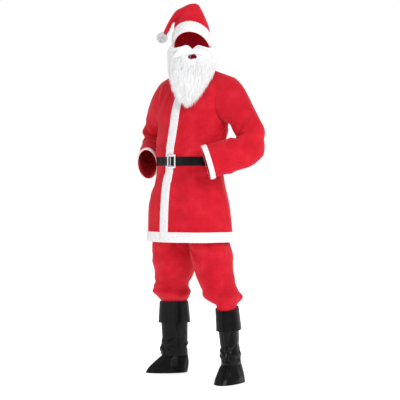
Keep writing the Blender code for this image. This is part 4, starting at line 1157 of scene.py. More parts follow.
ELBOW_CREASES = {
    1: (
        Crease(0.205, 66, 0.235, 96, 0.006, -0.0050),
        Crease(0.232, 60, 0.262, 104, 0.006, 0.0045),
        Crease(0.262, 64, 0.285, 110, 0.006, -0.0045),
        Crease(0.285, 50, 0.300, 96, 0.006, 0.0035),
        Crease(0.215, 84, 0.250, 150, 0.007, -0.0045),
        Crease(0.245, 88, 0.300, 140, 0.007, 0.0040),
        Crease(0.195, 20, 0.225, 60, 0.008, 0.0035),
        Crease(0.310, 120, 0.345, 170, 0.008, -0.0035),
        Crease(0.330, 60, 0.380, 96, 0.009, 0.0030),
        Crease(0.350, -30, 0.400, 20, 0.010, -0.0030),
        Crease(0.395, 120, 0.425, 190, 0.008, 0.0030),
        Crease(0.400, 20, 0.432, 60, 0.008, -0.0025),
        Crease(0.170, 130, 0.235, 175, 0.010, 0.0040),
        Crease(0.165, -120, 0.230, -160, 0.011, 0.0035),
        Crease(0.175, -60, 0.230, -95, 0.011, -0.0030),
    ),
    -1: (
        Crease(0.200, 70, 0.232, 108, 0.006, -0.0050),
        Crease(0.228, 66, 0.258, 112, 0.006, 0.0045),
        Crease(0.258, 60, 0.285, 118, 0.006, -0.0045),
        Crease(0.283, 56, 0.305, 100, 0.006, 0.0035),
        Crease(0.212, 90, 0.252, 155, 0.007, -0.0040),
        Crease(0.248, 96, 0.300, 150, 0.007, 0.0040),
        Crease(0.190, 24, 0.222, 58, 0.008, 0.0035),
        Crease(0.315, 110, 0.350, 172, 0.008, -0.0035),
        Crease(0.335, 50, 0.375, 90, 0.009, 0.0030),
        Crease(0.355, -40, 0.395, 15, 0.010, -0.0030),
        Crease(0.400, 110, 0.430, 180, 0.008, 0.0030),
        Crease(0.170, 126, 0.232, 170, 0.010, 0.0040),
        Crease(0.168, -116, 0.228, -150, 0.011, 0.0035),
        Crease(0.180, -64, 0.232, -100, 0.011, -0.0030),
    ),
}
print("small sleeve folds", [len(ELBOW_CREASES[side]) for side in (1, -1)])

# %% Route of an arm
def arm_route(arm):
    """A function of the distance along the arm, giving the centre and the turn of its bend."""
    shoulder, elbow, cuff = (np.array(p) for p in (arm.shoulder, arm.elbow, arm.cuff))
    upper, lower = unit(elbow - shoulder), unit(cuff - elbow)
    bend = math.acos(upper @ lower)
    setback = ELBOW_BEND * math.tan(bend / 2)
    first = np.linalg.norm(elbow - shoulder) - setback
    arc = ELBOW_BEND * bend
    last = np.linalg.norm(cuff - elbow) - setback
    inward = unit(lower - (lower @ upper) * upper)
    pivot = elbow - upper * setback + inward * ELBOW_BEND
    hinge = np.cross(upper, inward)

    def at(distance):
        if distance <= first:
            return shoulder + upper * distance, 0.0
        if distance >= first + arc:
            return elbow + lower * (setback + distance - first - arc), bend
        turn = (distance - first) / ELBOW_BEND
        return pivot + ELBOW_BEND * (upper * math.sin(turn) - inward * math.cos(turn)), turn

    return at, first + arc + last, upper, hinge


print("sleeve lengths", [round(float(arm_route(arm)[1]), 3) for arm in (LEFT_ARM, RIGHT_ARM)])

# %% Sleeve surface
SLEEVE_FINE_COLUMNS = 88
CAP_ROWS = 14
RING_STEP = 0.0052


def sleeve_surface(arm):
    """Points and outward normals of a sleeve, from the armhole to the cuff."""
    at, length, upper, hinge = arm_route(arm)
    mirror = np.array((arm.side, 1, 1))
    loop_middle = (armhole_point(0) + armhole_point(180)) / 2 * mirror
    top = armhole_point(0) * mirror - loop_middle
    top = unit(top - (top @ upper) * upper)
    ahead = unit(np.cross(upper, top))
    if ahead[1] > 0:
        ahead = -ahead
    angles = [360 * c / SLEEVE_FINE_COLUMNS for c in range(SLEEVE_FINE_COLUMNS)]
    creases = SLEEVE_CREASES[arm.side] + ELBOW_CREASES[arm.side]

    def ring(distance):
        centre, turn = at(distance)
        swing = Quaternion(Vector(hinge), turn)
        along = np.array(swing @ Vector(upper))
        up_axis = unit(np.array((0, 0, 1)) - along[2] * along)
        side_axis = np.cross(along, up_axis)
        first_axis, second_axis = np.array(swing @ Vector(top)), np.array(swing @ Vector(ahead))
        tall, flat = sample(ARM_RINGS[arm.side], distance / length)
        points, outward = [], []
        for angle in angles:
            direction = math.cos(math.radians(angle)) * first_axis
            direction = direction + math.sin(math.radians(angle)) * second_axis
            radius = 1 / math.hypot(direction @ up_axis / tall, direction @ side_axis / flat)
            radius += relief(distance, angle, ARM_GIRTH, creases)
            points.append(centre + direction * radius)
            outward.append(direction)
        return np.array(points), np.array(outward), along

    first_ring, first_out, along = ring(SLEEVE_START)
    armhole = np.array([armhole_point(angle) * mirror for angle in angles])
    leave = unit(np.array(SLEEVE_LEAVE) * mirror)
    rows, outward = [], []
    for step in range(CAP_ROWS):
        t = step / CAP_ROWS
        reach = np.linalg.norm(first_ring - armhole, axis=1, keepdims=True)
        start_pull, end_pull = leave * reach * SLEEVE_PULL, along * reach * SLEEVE_PULL
        rows.append(
            armhole * (1 + 2 * t) * (1 - t) ** 2
            + start_pull * t * (1 - t) ** 2
            + first_ring * t * t * (3 - 2 * t)
            + end_pull * t * t * (t - 1)
        )
        outward.append(first_out)
    under = np.array([0.5 - 0.5 * math.cos(math.radians(angle)) for angle in angles])[:, None]
    rows[0] = rows[0] + ARMHOLE_GAP * (
        np.array((arm.side, 0, 0)) * (1 - under) + np.array((0, 0, 1)) * under
    )
    cuff_start = length - CUFF_STRIP_WIDTH
    distances = spread(SLEEVE_START, cuff_start, RING_STEP)[:-1] + spread(cuff_start, length, 0.006)
    for distance in distances:
        points, out, _ = ring(distance)
        rows.append(points)
        outward.append(out)
    rows, outward = np.array(rows), np.array(outward)
    normals = grid_normals(rows, around=True)
    normals *= np.sign((normals * outward).sum(axis=2).mean())
    cuff_rows = len(spread(cuff_start, length, 0.006))
    return rows, normals, cuff_rows


print("sleeve columns", SLEEVE_FINE_COLUMNS, "cap rows", CAP_ROWS)

# %% Both sleeves and their cuff strips
SLEEVE_UNEVEN = 0.0012
for arm, side in ((LEFT_ARM, "left"), (RIGHT_ARM, "right")):
    points, normals, cuff_rows = sleeve_surface(arm)
    calm = points.copy()
    points = unevenness(points, normals, SLEEVE_UNEVEN, 0.045)
    points[0], points[1] = calm[0], calm[1]
    points[-cuff_rows:] = calm[-cuff_rows:]
    normals_now = grid_normals(points, around=True)
    normals_now *= np.sign((normals_now * normals).sum())
    sheet(
        side + "_sleeve", points, normals_now, -JACKET_CLOTH, 0, red_felt, "red_felt",
        around=True,
    )
    trim, trim_normals = points[-cuff_rows:], normals_now[-cuff_rows:]
    thick = SEAM_GAP + PLUSH * rounded_edges(cuff_rows, TRIM_ROUND)[:, None]
    sheet(
        side + "_cuff_strip", trim, trim_normals, SEAM_GAP, thick, white_plush, "white_plush",
        around=True,
    )
    grow_pile(side + "_cuff_pile", skin_helper(trim, trim_normals, thick, True), TRIM_PILE, 5 + arm.side)

# %% [markdown]
# ## Trousers
# One wide ring at the waist splits into two legs. Each leg is two panels that meet at the
# side seam and the inseam. The legs are longer than they need be: they pile up over the
# boot tops in three or four rolls, and slip inside the rim under the lowest one.

# %% Trouser tables
CROTCH_HEIGHT = 0.785
TROUSER_WAIST = 0.985
WAISTBAND_HEIGHT = 0.036
HipRing = namedtuple("HipRing", "height centre_y side depth")
HIP_RINGS = (
    HipRing(0.785, -0.008, 0.188, 0.110),
    HipRing(0.830, -0.008, 0.186, 0.116),
    HipRing(0.880, -0.008, 0.180, 0.118),
    HipRing(0.940, -0.006, 0.163, 0.114),
    HipRing(1.025, 0.000, 0.148, 0.108),
)
LegRing = namedtuple("LegRing", "height x y half_width half_depth turn")
LEFT_LEG = (
    LegRing(0.350, 0.212, 0.004, 0.036, 0.056, 14),
    LegRing(0.400, 0.2075, 0.003, 0.0463, 0.0664, 14.5),
    LegRing(0.418, 0.206, 0.002, 0.047, 0.066, 14),
    LegRing(0.436, 0.194, 0.000, 0.076, 0.080, 12),
    LegRing(0.458, 0.185, 0.000, 0.088, 0.086, 10),
    LegRing(0.490, 0.168, 0.000, 0.087, 0.088, 8),
    LegRing(0.560, 0.136, 0.000, 0.091, 0.095, 5),
    LegRing(0.650, 0.116, 0.002, 0.100, 0.104, 2),
    LegRing(0.720, 0.103, -0.008, 0.096, 0.108, 1),
    LegRing(0.785, 0.0942, -0.008, 0.0938, 0.110, 0),
)
RIGHT_LEG = (
    LegRing(0.350, 0.169, 0.074, 0.036, 0.056, 35),
    LegRing(0.400, 0.1645, 0.067, 0.0455, 0.0655, 35.5),
    LegRing(0.416, 0.1635, 0.066, 0.047, 0.066, 35),
    LegRing(0.434, 0.163, 0.060, 0.075, 0.079, 29),
    LegRing(0.452, 0.167, 0.056, 0.084, 0.087, 24),
    LegRing(0.480, 0.172, 0.053, 0.083, 0.086, 20),
    LegRing(0.560, 0.140, 0.040, 0.096, 0.100, 12),
    LegRing(0.650, 0.122, 0.014, 0.103, 0.107, 6),
    LegRing(0.720, 0.106, -0.008, 0.097, 0.108, 2),
    LegRing(0.785, 0.0942, -0.008, 0.0938, 0.110, 0),
)
LEG_FOLDS = (
    Crease(0.44, 20, 0.47, 80, 0.013, 0.008),
    Crease(0.47, 100, 0.45, 165, 0.012, 0.008),
    Crease(0.50, 30, 0.52, 95, 0.012, -0.007),
    Crease(0.455, -20, 0.47, -90, 0.013, 0.008),
    Crease(0.475, -100, 0.445, -170, 0.012, 0.007),
    Crease(0.51, -30, 0.50, -110, 0.013, -0.007),
    Crease(0.55, 60, 0.60, 140, 0.016, -0.006),
    Crease(0.58, 20, 0.63, 70, 0.016, 0.006),
    Crease(0.56, -50, 0.61, -130, 0.016, -0.006),
    Crease(0.66, 100, 0.72, 150, 0.018, -0.006),
)
LEG_CREASES = {
    1: (
        Crease(0.452, 10, 0.462, 66, 0.0095, 0.0031),
        Crease(0.463, 60, 0.450, 120, 0.0090, 0.0031),
        Crease(0.470, 20, 0.478, 88, 0.0090, -0.0034),
        Crease(0.486, 34, 0.497, 110, 0.0095, 0.0028),
        Crease(0.503, 12, 0.512, 70, 0.0100, -0.0025),
        Crease(0.520, 50, 0.540, 118, 0.0110, 0.0025),
        Crease(0.462, 120, 0.476, 176, 0.0090, 0.0028),
        Crease(0.488, 128, 0.480, 184, 0.0095, -0.0028),
        Crease(0.455, -14, 0.468, -70, 0.0095, 0.0031),
        Crease(0.470, -60, 0.456, -124, 0.0090, 0.0031),
        Crease(0.480, -22, 0.490, -96, 0.0095, -0.0031),
        Crease(0.498, -30, 0.508, -104, 0.0100, 0.0028),
        Crease(0.520, -64, 0.505, -130, 0.0105, -0.0025),
        Crease(0.468, -124, 0.480, -178, 0.0090, 0.0028),
        Crease(0.545, -20, 0.575, -90, 0.0120, 0.0022),
        Crease(0.560, 20, 0.600, 60, 0.0100, -0.0035),
        Crease(0.600, 96, 0.700, 140, 0.0120, 0.0040),
        Crease(0.740, 100, 0.640, 160, 0.0120, -0.0040),
        Crease(0.780, 60, 0.650, 40, 0.0130, -0.0030),
        Crease(0.780, 20, 0.660, 12, 0.0130, 0.0035),
        Crease(0.760, -60, 0.640, -40, 0.0130, 0.0035),
        Crease(0.740, -110, 0.640, -150, 0.0120, -0.0040),
        Crease(0.690, -80, 0.600, -100, 0.0130, -0.0030),
    ),
    -1: (
        Crease(0.450, 14, 0.462, 76, 0.0095, 0.0031),
        Crease(0.460, 70, 0.448, 128, 0.0090, 0.0031),
        Crease(0.474, 24, 0.482, 100, 0.0090, -0.0034),
        Crease(0.488, 56, 0.500, 132, 0.0100, 0.0031),
        Crease(0.506, 40, 0.522, 120, 0.0100, -0.0028),
        Crease(0.530, 80, 0.560, 150, 0.0115, 0.0025),
        Crease(0.458, 120, 0.470, 178, 0.0090, 0.0028),
        Crease(0.490, 134, 0.478, 186, 0.0095, -0.0028),
        Crease(0.452, -16, 0.466, -76, 0.0095, 0.0031),
        Crease(0.470, -66, 0.456, -130, 0.0090, 0.0031),
        Crease(0.482, -26, 0.494, -102, 0.0095, -0.0031),
        Crease(0.500, -36, 0.512, -110, 0.0100, 0.0028),
        Crease(0.524, -70, 0.508, -134, 0.0105, -0.0025),
        Crease(0.472, -128, 0.482, -180, 0.0090, 0.0025),
        Crease(0.550, -24, 0.580, -96, 0.0120, 0.0022),
        Crease(0.585, 60, 0.640, 100, 0.0110, -0.0035),
        Crease(0.620, 110, 0.720, 150, 0.0120, 0.0040),
        Crease(0.760, 104, 0.660, 166, 0.0120, -0.0040),
        Crease(0.770, 70, 0.660, 84, 0.0130, -0.0030),
        Crease(0.780, 28, 0.660, 36, 0.0130, 0.0035),
        Crease(0.770, -52, 0.650, -34, 0.0130, 0.0035),
        Crease(0.745, -104, 0.650, -146, 0.0120, -0.0040),
        Crease(0.700, -76, 0.610, -94, 0.0130, -0.0030),
    ),
}
print("small trouser folds", [len(LEG_CREASES[side]) for side in (1, -1)])

# %% Trouser surface
def leg_point(leg, side, height, angle):
    """Outer face of one leg; angle is 0 outside, 90 in front and -90 behind."""
    turn = math.radians(angle)
    if height >= CROTCH_HEIGHT:
        centre_y, reach, half_depth = sample(HIP_RINGS, height)
        parting = split_share(height)
        half_width = reach / (1 + parting)
        centre_x, foot_turn = parting * half_width, 0.0
    else:
        centre_x, centre_y, half_width, half_depth, foot_turn = sample(leg, height)
    local = np.array((half_width * math.cos(turn), -half_depth * math.sin(turn), 0.0))
    rise = relief(height, angle, LEG_GIRTH, LEG_FOLDS)
    local += rise * np.array((math.cos(turn), -math.sin(turn), 0.0))
    swing = math.radians(foot_turn)
    x = local[0] * math.cos(swing) - local[1] * math.sin(swing)
    y = local[0] * math.sin(swing) + local[1] * math.cos(swing)
    return np.array((side * (centre_x + x), centre_y + y, height))


def split_share(height):
    """0 where the trousers are one ring at the waist, 1 where they part at the crotch."""
    share = (TROUSER_WAIST - height) / (TROUSER_WAIST - CROTCH_HEIGHT)
    return min(max(share, 0.0), 1.0) ** 2.2


def inner_angle(height):
    """Angle at which a leg's ring meets the middle of the body, or its own inseam."""
    if height < CROTCH_HEIGHT:
        return 180.0
    reach = sample(HIP_RINGS, height)[1]
    parting = split_share(height)
    half_width = reach / (1 + parting)
    return math.degrees(math.acos(max(-parting, -1 + 0.0003 / half_width)))


RIM_CALM, RIM_FADE = 0.424, 0.016
WAIST_CALM, WAIST_FADE = 0.86, 0.06


def creased_leg_point(leg, side, height, angle):
    """One point of a leg with its small folds, calm where it enters the boot and at the waist."""
    point = leg_point(leg, side, height, angle)
    calm = smooth_share((height - RIM_CALM) / RIM_FADE)
    fade = smooth_share((WAIST_CALM - height) / WAIST_FADE)
    turn = math.radians(angle)
    rise = relief(height, angle, LEG_GIRTH, LEG_CREASES[side]) * calm * fade
    return point + rise * np.array((side * math.cos(turn), -math.sin(turn), 0.0))


print("waist half sizes", [round(float(v), 3) for v in sample(HIP_RINGS, TROUSER_WAIST)[1:]])

# %% Trouser panels
HALF = 44
leg_heights = (
    spread(0.350, RIM_CALM, 0.007)[:-1]
    + spread(RIM_CALM, 0.540, 0.0034)[:-1]
    + spread(0.540, CROTCH_HEIGHT, 0.0075)[:-1]
    + spread(CROTCH_HEIGHT, TROUSER_WAIST, 0.010)
)
crotch_row = leg_heights.index(CROTCH_HEIGHT)
ROLL_FROM, ROLL_TO, ROLL_PASSES = 0.430, 0.600, 8
roll_rows = [row for row, height in enumerate(leg_heights) if ROLL_FROM < height < ROLL_TO]


def rounded_rolls(rows):
    """Average each row above the boot with its neighbours, so that folds end in soft rolls."""
    first, last = roll_rows[0], roll_rows[-1] + 1
    for _ in range(ROLL_PASSES):
        below, above = rows[first - 1 : last - 1], rows[first + 1 : last + 1]
        rows[first:last] = (below + 2 * rows[first:last] + above) / 4
    return rows


for leg, side, label in ((LEFT_LEG, 1, "left"), (RIGHT_LEG, -1, "right")):
    halves = {}
    for facing in (1, -1):
        rows = []
        for height in leg_heights:
            last = inner_angle(height)
            rows.append(
                [creased_leg_point(leg, side, height, facing * last * c / HALF) for c in range(HALF + 1)]
            )
        halves[facing] = rounded_rolls(np.array(rows))
    tube = np.concatenate((halves[1], halves[-1][:, -2:0:-1]), axis=1)
    whole = grid_normals(tube, around=True) * -side
    for facing, name in ((1, "front"), (-1, "back")):
        points = halves[facing]
        normals = grid_normals(points) * -facing * side
        normals[:, 0] = whole[:, 0]
        normals[:crotch_row, -1] = whole[:crotch_row, HALF]
        normals[crotch_row:, -1, 0] = 0.0
        normals[crotch_row:, -1] /= np.linalg.norm(normals[crotch_row:, -1], axis=1, keepdims=True)
        points = drawn_back(points, ("first_column", "last_column"))
        sheet(
            f"trouser_{label}_{name}", points, normals, -TROUSER_CLOTH, 0, red_felt, "red_felt",
        )

# %% [markdown]
# ### Waistband
# An elastic is threaded through the top hem. It draws the cloth into small even gathers, so
# this ring is a wave: forty-eight ridges, as elastic makes them, under the jacket.

# %% Waistband
GATHERS = 48
band_heights = spread(TROUSER_WAIST + 3 * SEAM_GAP, TROUSER_WAIST + WAISTBAND_HEIGHT, 0.006)
band_columns = GATHERS * 6
rows = []
for height in band_heights:
    centre_y, half_width, half_depth = sample(HIP_RINGS, height)
    ring = []
    for c in range(band_columns):
        turn = 2 * math.pi * c / band_columns
        gather = 1 + 0.010 * math.cos(GATHERS * turn) * (0.8 + 0.2 * math.sin(3 * turn))
        ring.append(
            (half_width * gather * math.sin(turn), centre_y - half_depth * gather * math.cos(turn), height)
        )
    rows.append(ring)
band_points = np.array(rows)
band_normals = grid_normals(band_points, around=True)
sheet(
    "trouser_waistband", band_points, band_normals, -TROUSER_CLOTH, 0, red_felt, "red_felt",
    around=True,
)

# %% [markdown]
# ## Boot covers
# A boot cover is a tube of imitation leather over an ordinary shoe: a straight shaft with a
# raised seam down the front, a wide cuff turned down at the knee, and a spat that spreads
# over the instep. The soft sheet crumples at the ankle, where it carries most of its folds.

# %% Boot tables
BOOT_TOP = 0.411
BOOT_CUFF_LOW = 0.305
ANKLE_SEAM = 0.138
BOOT_LOW = 0.055
Boot = namedtuple("Boot", "top_x top_y ankle_x ankle_y turn front_drop top side")
LEFT_BOOT = Boot(0.207, 0.003, 0.232, 0.007, 14.5, 0.010, 0.403, 1)
RIGHT_BOOT = Boot(-0.1637, 0.066, -0.195, 0.115, 35.5, 0.0, 0.411, -1)
BootRing = namedtuple("BootRing", "height front back half_width")
SHAFT_RINGS = (
    BootRing(0.138, 0.069, 0.064, 0.045),
    BootRing(0.172, 0.078, 0.064, 0.045),
    BootRing(0.206, 0.065, 0.064, 0.043),
    BootRing(0.250, 0.064, 0.065, 0.043),
    BootRing(0.310, 0.0665, 0.067, 0.045),
    BootRing(0.411, 0.070, 0.070, 0.050),
)
CUFF_RINGS = (
    BootRing(0.305, 0.080, 0.080, 0.057),
    BootRing(0.360, 0.076, 0.076, 0.054),
    BootRing(0.411, 0.0718, 0.0718, 0.0518),
)
SPAT_RINGS = (
    BootRing(0.055, 0.152, 0.060, 0.066),
    BootRing(0.080, 0.136, 0.066, 0.062),
    BootRing(0.105, 0.109, 0.068, 0.055),
    BootRing(0.138, 0.069, 0.064, 0.045),
)
BOOT_SEAM_RISE = 0.0025
BOOT_CREASES = (
    Crease(0.150, -70, 0.185, -20, 0.010, -0.005),
    Crease(0.185, 15, 0.165, 75, 0.010, -0.005),
    Crease(0.205, -60, 0.215, 30, 0.010, 0.004),
    Crease(0.160, 120, 0.180, 200, 0.010, -0.004),
    Crease(0.240, 100, 0.225, 170, 0.012, -0.003),
)
BOOT_FINE_CREASES = (
    Crease(0.232, -74, 0.205, -14, 0.0060, -0.0045),
    Crease(0.214, -44, 0.182, -8, 0.0055, 0.0040),
    Crease(0.200, 10, 0.222, 60, 0.0055, -0.0045),
    Crease(0.184, -66, 0.160, -22, 0.0055, 0.0040),
    Crease(0.176, 20, 0.150, 72, 0.0055, 0.0040),
    Crease(0.165, -28, 0.148, 24, 0.0050, -0.0035),
    Crease(0.250, 30, 0.300, 44, 0.0080, -0.0030),
    Crease(0.238, -100, 0.290, -84, 0.0080, 0.0030),
    Crease(0.196, 100, 0.170, 150, 0.0060, 0.0040),
    Crease(0.178, 140, 0.158, 190, 0.0055, -0.0035),
    Crease(0.206, 168, 0.186, 226, 0.0060, 0.0035),
    Crease(0.260, 150, 0.320, 166, 0.0090, -0.0030),
    Crease(0.230, -150, 0.256, -120, 0.0070, -0.0030),
)
SPAT_CREASES = (
    Crease(0.130, -30, 0.085, -14, 0.0060, -0.0035),
    Crease(0.128, 16, 0.090, 34, 0.0060, -0.0035),
    Crease(0.125, 60, 0.080, 70, 0.0070, 0.0030),
    Crease(0.124, -66, 0.078, -74, 0.0070, 0.0030),
    Crease(0.110, 140, 0.075, 150, 0.0070, -0.0030),
    Crease(0.110, -140, 0.075, -128, 0.0070, -0.0030),
)
CUFF_CREASES = (
    Crease(0.315, 40, 0.400, 52, 0.0120, -0.0020),
    Crease(0.315, -58, 0.400, -46, 0.0120, -0.0020),
    Crease(0.315, 128, 0.400, 120, 0.0120, 0.0020),
    Crease(0.315, -140, 0.400, -130, 0.0120, 0.0020),
)
print("ankle folds", len(BOOT_CREASES + BOOT_FINE_CREASES))

# %% Boot surface
BOOT_FINE_COLUMNS = 108
SEAM_HALF = 4.0


def boot_surface(boot, rings, heights, creases):
    """Points and normals of one part of a boot cover, in the foot's own direction."""
    ahead = compass(boot.turn * boot.side)
    across = np.array((-ahead[1], ahead[0], 0.0))
    rows = []
    for height in heights:
        share = max((height - ANKLE_SEAM) / (BOOT_TOP - ANKLE_SEAM), 0.0)
        x = boot.ankle_x + (boot.top_x - boot.ankle_x) * share
        y = boot.ankle_y + (boot.top_y - boot.ankle_y) * share
        front_reach, back_reach, half_width = sample(rings, height)
        ring = []
        for c in range(BOOT_FINE_COLUMNS):
            angle = 360 * c / BOOT_FINE_COLUMNS
            turn = math.radians(angle)
            reach = front_reach if math.cos(turn) > 0 else back_reach
            outward = ahead * math.cos(turn) + across * math.sin(turn)
            local = ahead * reach * math.cos(turn) + across * half_width * math.sin(turn)
            local = local + outward * relief(height, angle * boot.side, BOOT_GIRTH, creases)
            off_seam = min(angle, 360 - angle) / SEAM_HALF
            local = local + ahead * BOOT_SEAM_RISE * max(0.0, 1 - off_seam)
            drop = boot.front_drop * share ** 2 * math.cos(turn)
            level = height - (BOOT_TOP - boot.top) * share
            ring.append((x + local[0], y + local[1], level - drop))
        rows.append(ring)
    points = np.array(rows)
    return points, grid_normals(points, around=True)


print("boot columns", BOOT_FINE_COLUMNS)

# %% Both boot covers
for boot, side in ((LEFT_BOOT, "left"), (RIGHT_BOOT, "right")):
    parts = (
        ("shaft", SHAFT_RINGS, spread(ANKLE_SEAM, 0.265, 0.0035)[:-1] + spread(0.265, BOOT_TOP, 0.0073),
         BOOT_CREASES + BOOT_FINE_CREASES),
        ("cuff", CUFF_RINGS, spread(BOOT_CUFF_LOW, BOOT_TOP, 0.005), CUFF_CREASES),
        ("spat", SPAT_RINGS, spread(BOOT_LOW, ANKLE_SEAM, 0.004), SPAT_CREASES),
    )
    for part, rings, heights, creases in parts:
        points, normals = boot_surface(boot, rings, heights, creases)
        if part == "spat":
            points[-1, :, 2] -= SEAM_GAP
        sheet(
            f"{side}_boot_{part}", points, normals, -BOOT_CLOTH, 0, black_vinyl, "black_vinyl",
            around=True,
        )

# %% [markdown]
# ## Hat
# The hat is a cone of felt that falls over to one side. Its sections are given in the plane
# of the fold: a far point and a near point of each. Where the cone folds, the sections fan
# out on the far side and crowd on the near side, and that is where its creases are.

# %% Hat tables
BAND_PLUSH = 0.009
BAND_EDGE_SHARE = 0.8
BAND_PILE_ROOT = 0.001
POMPOM_RADIUS = 0.019
HatSection = namedtuple("HatSection", "far_side far_height near_side near_height half_depth drop back")
HAT_SECTIONS = (
    HatSection(-0.086, 1.629, 0.086, 1.654, 0.103, 0.69, 0.000),
    HatSection(-0.089, 1.685, 0.087, 1.708, 0.101, 0.67, 0.026),
    HatSection(-0.085, 1.734, 0.087, 1.744, 0.094, 0.52, 0.026),
    HatSection(-0.067, 1.785, 0.085, 1.762, 0.082, 0.36, 0.022),
    HatSection(-0.049, 1.825, 0.083, 1.768, 0.071, 0.24, 0.016),
    HatSection(-0.028, 1.856, 0.083, 1.7715, 0.060, 0.14, 0.010),
    HatSection(0.010, 1.858, 0.0845, 1.773, 0.049, 0.06, 0.005),
    HatSection(0.046, 1.842, 0.087, 1.772, 0.040, 0.0, 0.0),
    HatSection(0.076, 1.826, 0.090, 1.768, 0.033, 0.0, 0.0),
    HatSection(0.098, 1.797, 0.0965, 1.757, 0.027, 0.0, -0.004),
    HatSection(0.121, 1.757, 0.107, 1.733, 0.021, 0.0, -0.008),
    HatSection(0.137, 1.722, 0.121, 1.709, 0.014, 0.0, -0.010),
)
FOLD_PLANE_TURN = 38.0
POMPOM_CENTRE = (-0.1141, -0.0885, 1.6951)
HAT_CREASES = (
    # along is the section number, angle runs from the far side of the fold
    Crease(4.0, 150, 5.6, 205, 0.30, -0.0045),
    Crease(4.8, 120, 6.6, 160, 0.30, 0.0040),
    Crease(5.2, 210, 6.8, 250, 0.30, 0.0040),
    Crease(3.2, 215, 5.2, 265, 0.34, -0.0045),
    Crease(3.0, 100, 4.8, 138, 0.34, -0.0040),
    Crease(1.8, 236, 4.2, 292, 0.36, 0.0035),
    Crease(2.2, 62, 4.4, 92, 0.36, 0.0035),
    Crease(6.8, 240, 9.2, 262, 0.30, -0.0030),
    Crease(7.4, 90, 9.6, 110, 0.30, 0.0025),
    Crease(8.2, 180, 10.2, 200, 0.30, -0.0025),
)
print("hat sections", len(HAT_SECTIONS), "creases", len(HAT_CREASES))

# %% Hat surface
def hat_point(section, angle):
    """Outer face of the crown in one section; 0 is its far side and 180 its fold side."""
    fold = -np.array(
        (math.cos(math.radians(FOLD_PLANE_TURN)), math.sin(math.radians(FOLD_PLANE_TURN)), 0.0)
    )
    away = np.array((fold[1], -fold[0], 0.0))
    far = fold * section.far_side + np.array((0, 0, section.far_height))
    near = fold * section.near_side + np.array((0, 0, section.near_height))
    turn = math.radians(angle)
    point = (far + near) / 2 + (far - near) / 2 * math.cos(turn)
    depth = section.half_depth * math.sin(turn)
    point = point + away * (section.back + depth)
    point[2] -= section.drop * depth
    return point


HAT_STEP = 0.11
HAT_FINE = 48
NUMBERED_SECTIONS = tuple((k, *section) for k, section in enumerate(HAT_SECTIONS))


def hat_section(place):
    """A section between two table rows, read along a smooth curve."""
    return HatSection(*sample(NUMBERED_SECTIONS, place))


def hat_rise(place, angle):
    """Rise of the crown's creases; along the hat they are measured in sections."""
    total = 0.0
    for crease in HAT_CREASES:
        sweep = crease.high_angle - crease.low_angle
        offset = (angle - crease.low_angle + 180) % 360 - 180
        segment = np.array((crease.high - crease.low, sweep / 40))
        point = np.array((place - crease.low, offset / 40))
        share = min(max(point @ segment / (segment @ segment), 0.0), 1.0)
        gap = point - share * segment
        total += crease.rise * math.exp(-(gap @ gap) / crease.width ** 2)
    return total


HAT_TIP = len(HAT_SECTIONS) - 1
hat_places = spread(0, HAT_TIP, HAT_STEP)
hat_count = 2 * HAT_FINE
hat_points = np.array(
    [[hat_point(hat_section(p), 360 * c / hat_count) for c in range(hat_count)] for p in hat_places]
)
hat_centres = hat_points.mean(axis=1, keepdims=True)
hat_normals = grid_normals(hat_points, around=True)
hat_normals *= np.sign(((hat_points - hat_centres) * hat_normals).sum(axis=2).mean())
for r, place in enumerate(hat_places):
    calm = smooth_share((place - 1.0) / 0.8) * smooth_share(HAT_TIP - place)
    for c in range(hat_count):
        hat_points[r, c] += hat_normals[r, c] * hat_rise(place, 360 * c / hat_count) * calm
hat_before = hat_normals
hat_normals = grid_normals(hat_points, around=True)
hat_normals *= np.sign((hat_normals * hat_before).sum())
print("hat grid", hat_points.shape)

# %% Crown panels
for name, start in (("hat_back_panel", 0), ("hat_front_panel", HAT_FINE)):
    columns = [(start + c) % hat_count for c in range(HAT_FINE + 1)]
    panel = drawn_back(hat_points[:, columns], ("first_column", "last_column"))
    sheet(
        name, panel, hat_normals[:, columns], -HAT_CLOTH, 0, red_felt, "red_felt",
    )

# %% [markdown]
# ### Hat band and pompom
# Both are longer pile than the trims. The band is a soft roll round the brow. The pompom is
# a ball of yarn ends: every tuft stands straight out and the ball is clipped nearly round.

# %% Hat band
band_rows = [r for r, place in enumerate(hat_places) if place <= 1.001]
band_edge, band_facing = hat_points[band_rows], hat_normals[band_rows]
band_swell = np.array(
    [BAND_EDGE_SHARE + (1 - BAND_EDGE_SHARE) * math.sin(math.pi * p) for p in hat_places[: len(band_rows)]]
)
band_round = rounded_edges(len(band_rows), 0.45) * band_swell
band_outer = SEAM_GAP + BAND_PLUSH * band_round[:, None] * np.ones((1, hat_count))
sheet(
    "hat_band", band_edge, band_facing, SEAM_GAP, band_outer, white_plush, "white_plush",
    around=True,
)
band_skin = band_outer - BAND_PILE_ROOT
grow_pile("hat_band_pile", skin_helper(band_edge, band_facing, band_skin, True), BAND_PILE, 11)

# %% Pompom
pompom_centre = Vector(POMPOM_CENTRE) - Vector((0, 0, ORIGIN_HEIGHT))
core = bmesh.new()
bmesh.ops.create_icosphere(core, subdivisions=4, radius=POMPOM_RADIUS)
for vert in core.verts:
    bump = noise.noise(vert.co * 140)
    vert.co *= 1 + 0.08 * bump
bmesh.ops.translate(core, verts=core.verts, vec=pompom_centre)
core_mesh = bpy.data.meshes.new("pompom_core")
core.to_mesh(core_mesh)
core.free()
finished("hat_pompom_core", core_mesh, white_plush, ("hat_pompom",), "white_plush")
helper = bpy.data.objects.new("skin", core_mesh.copy())
bpy.context.scene.collection.objects.link(helper)
grow_pile("hat_pompom_tufts", helper, POMPOM_PILE, 13)

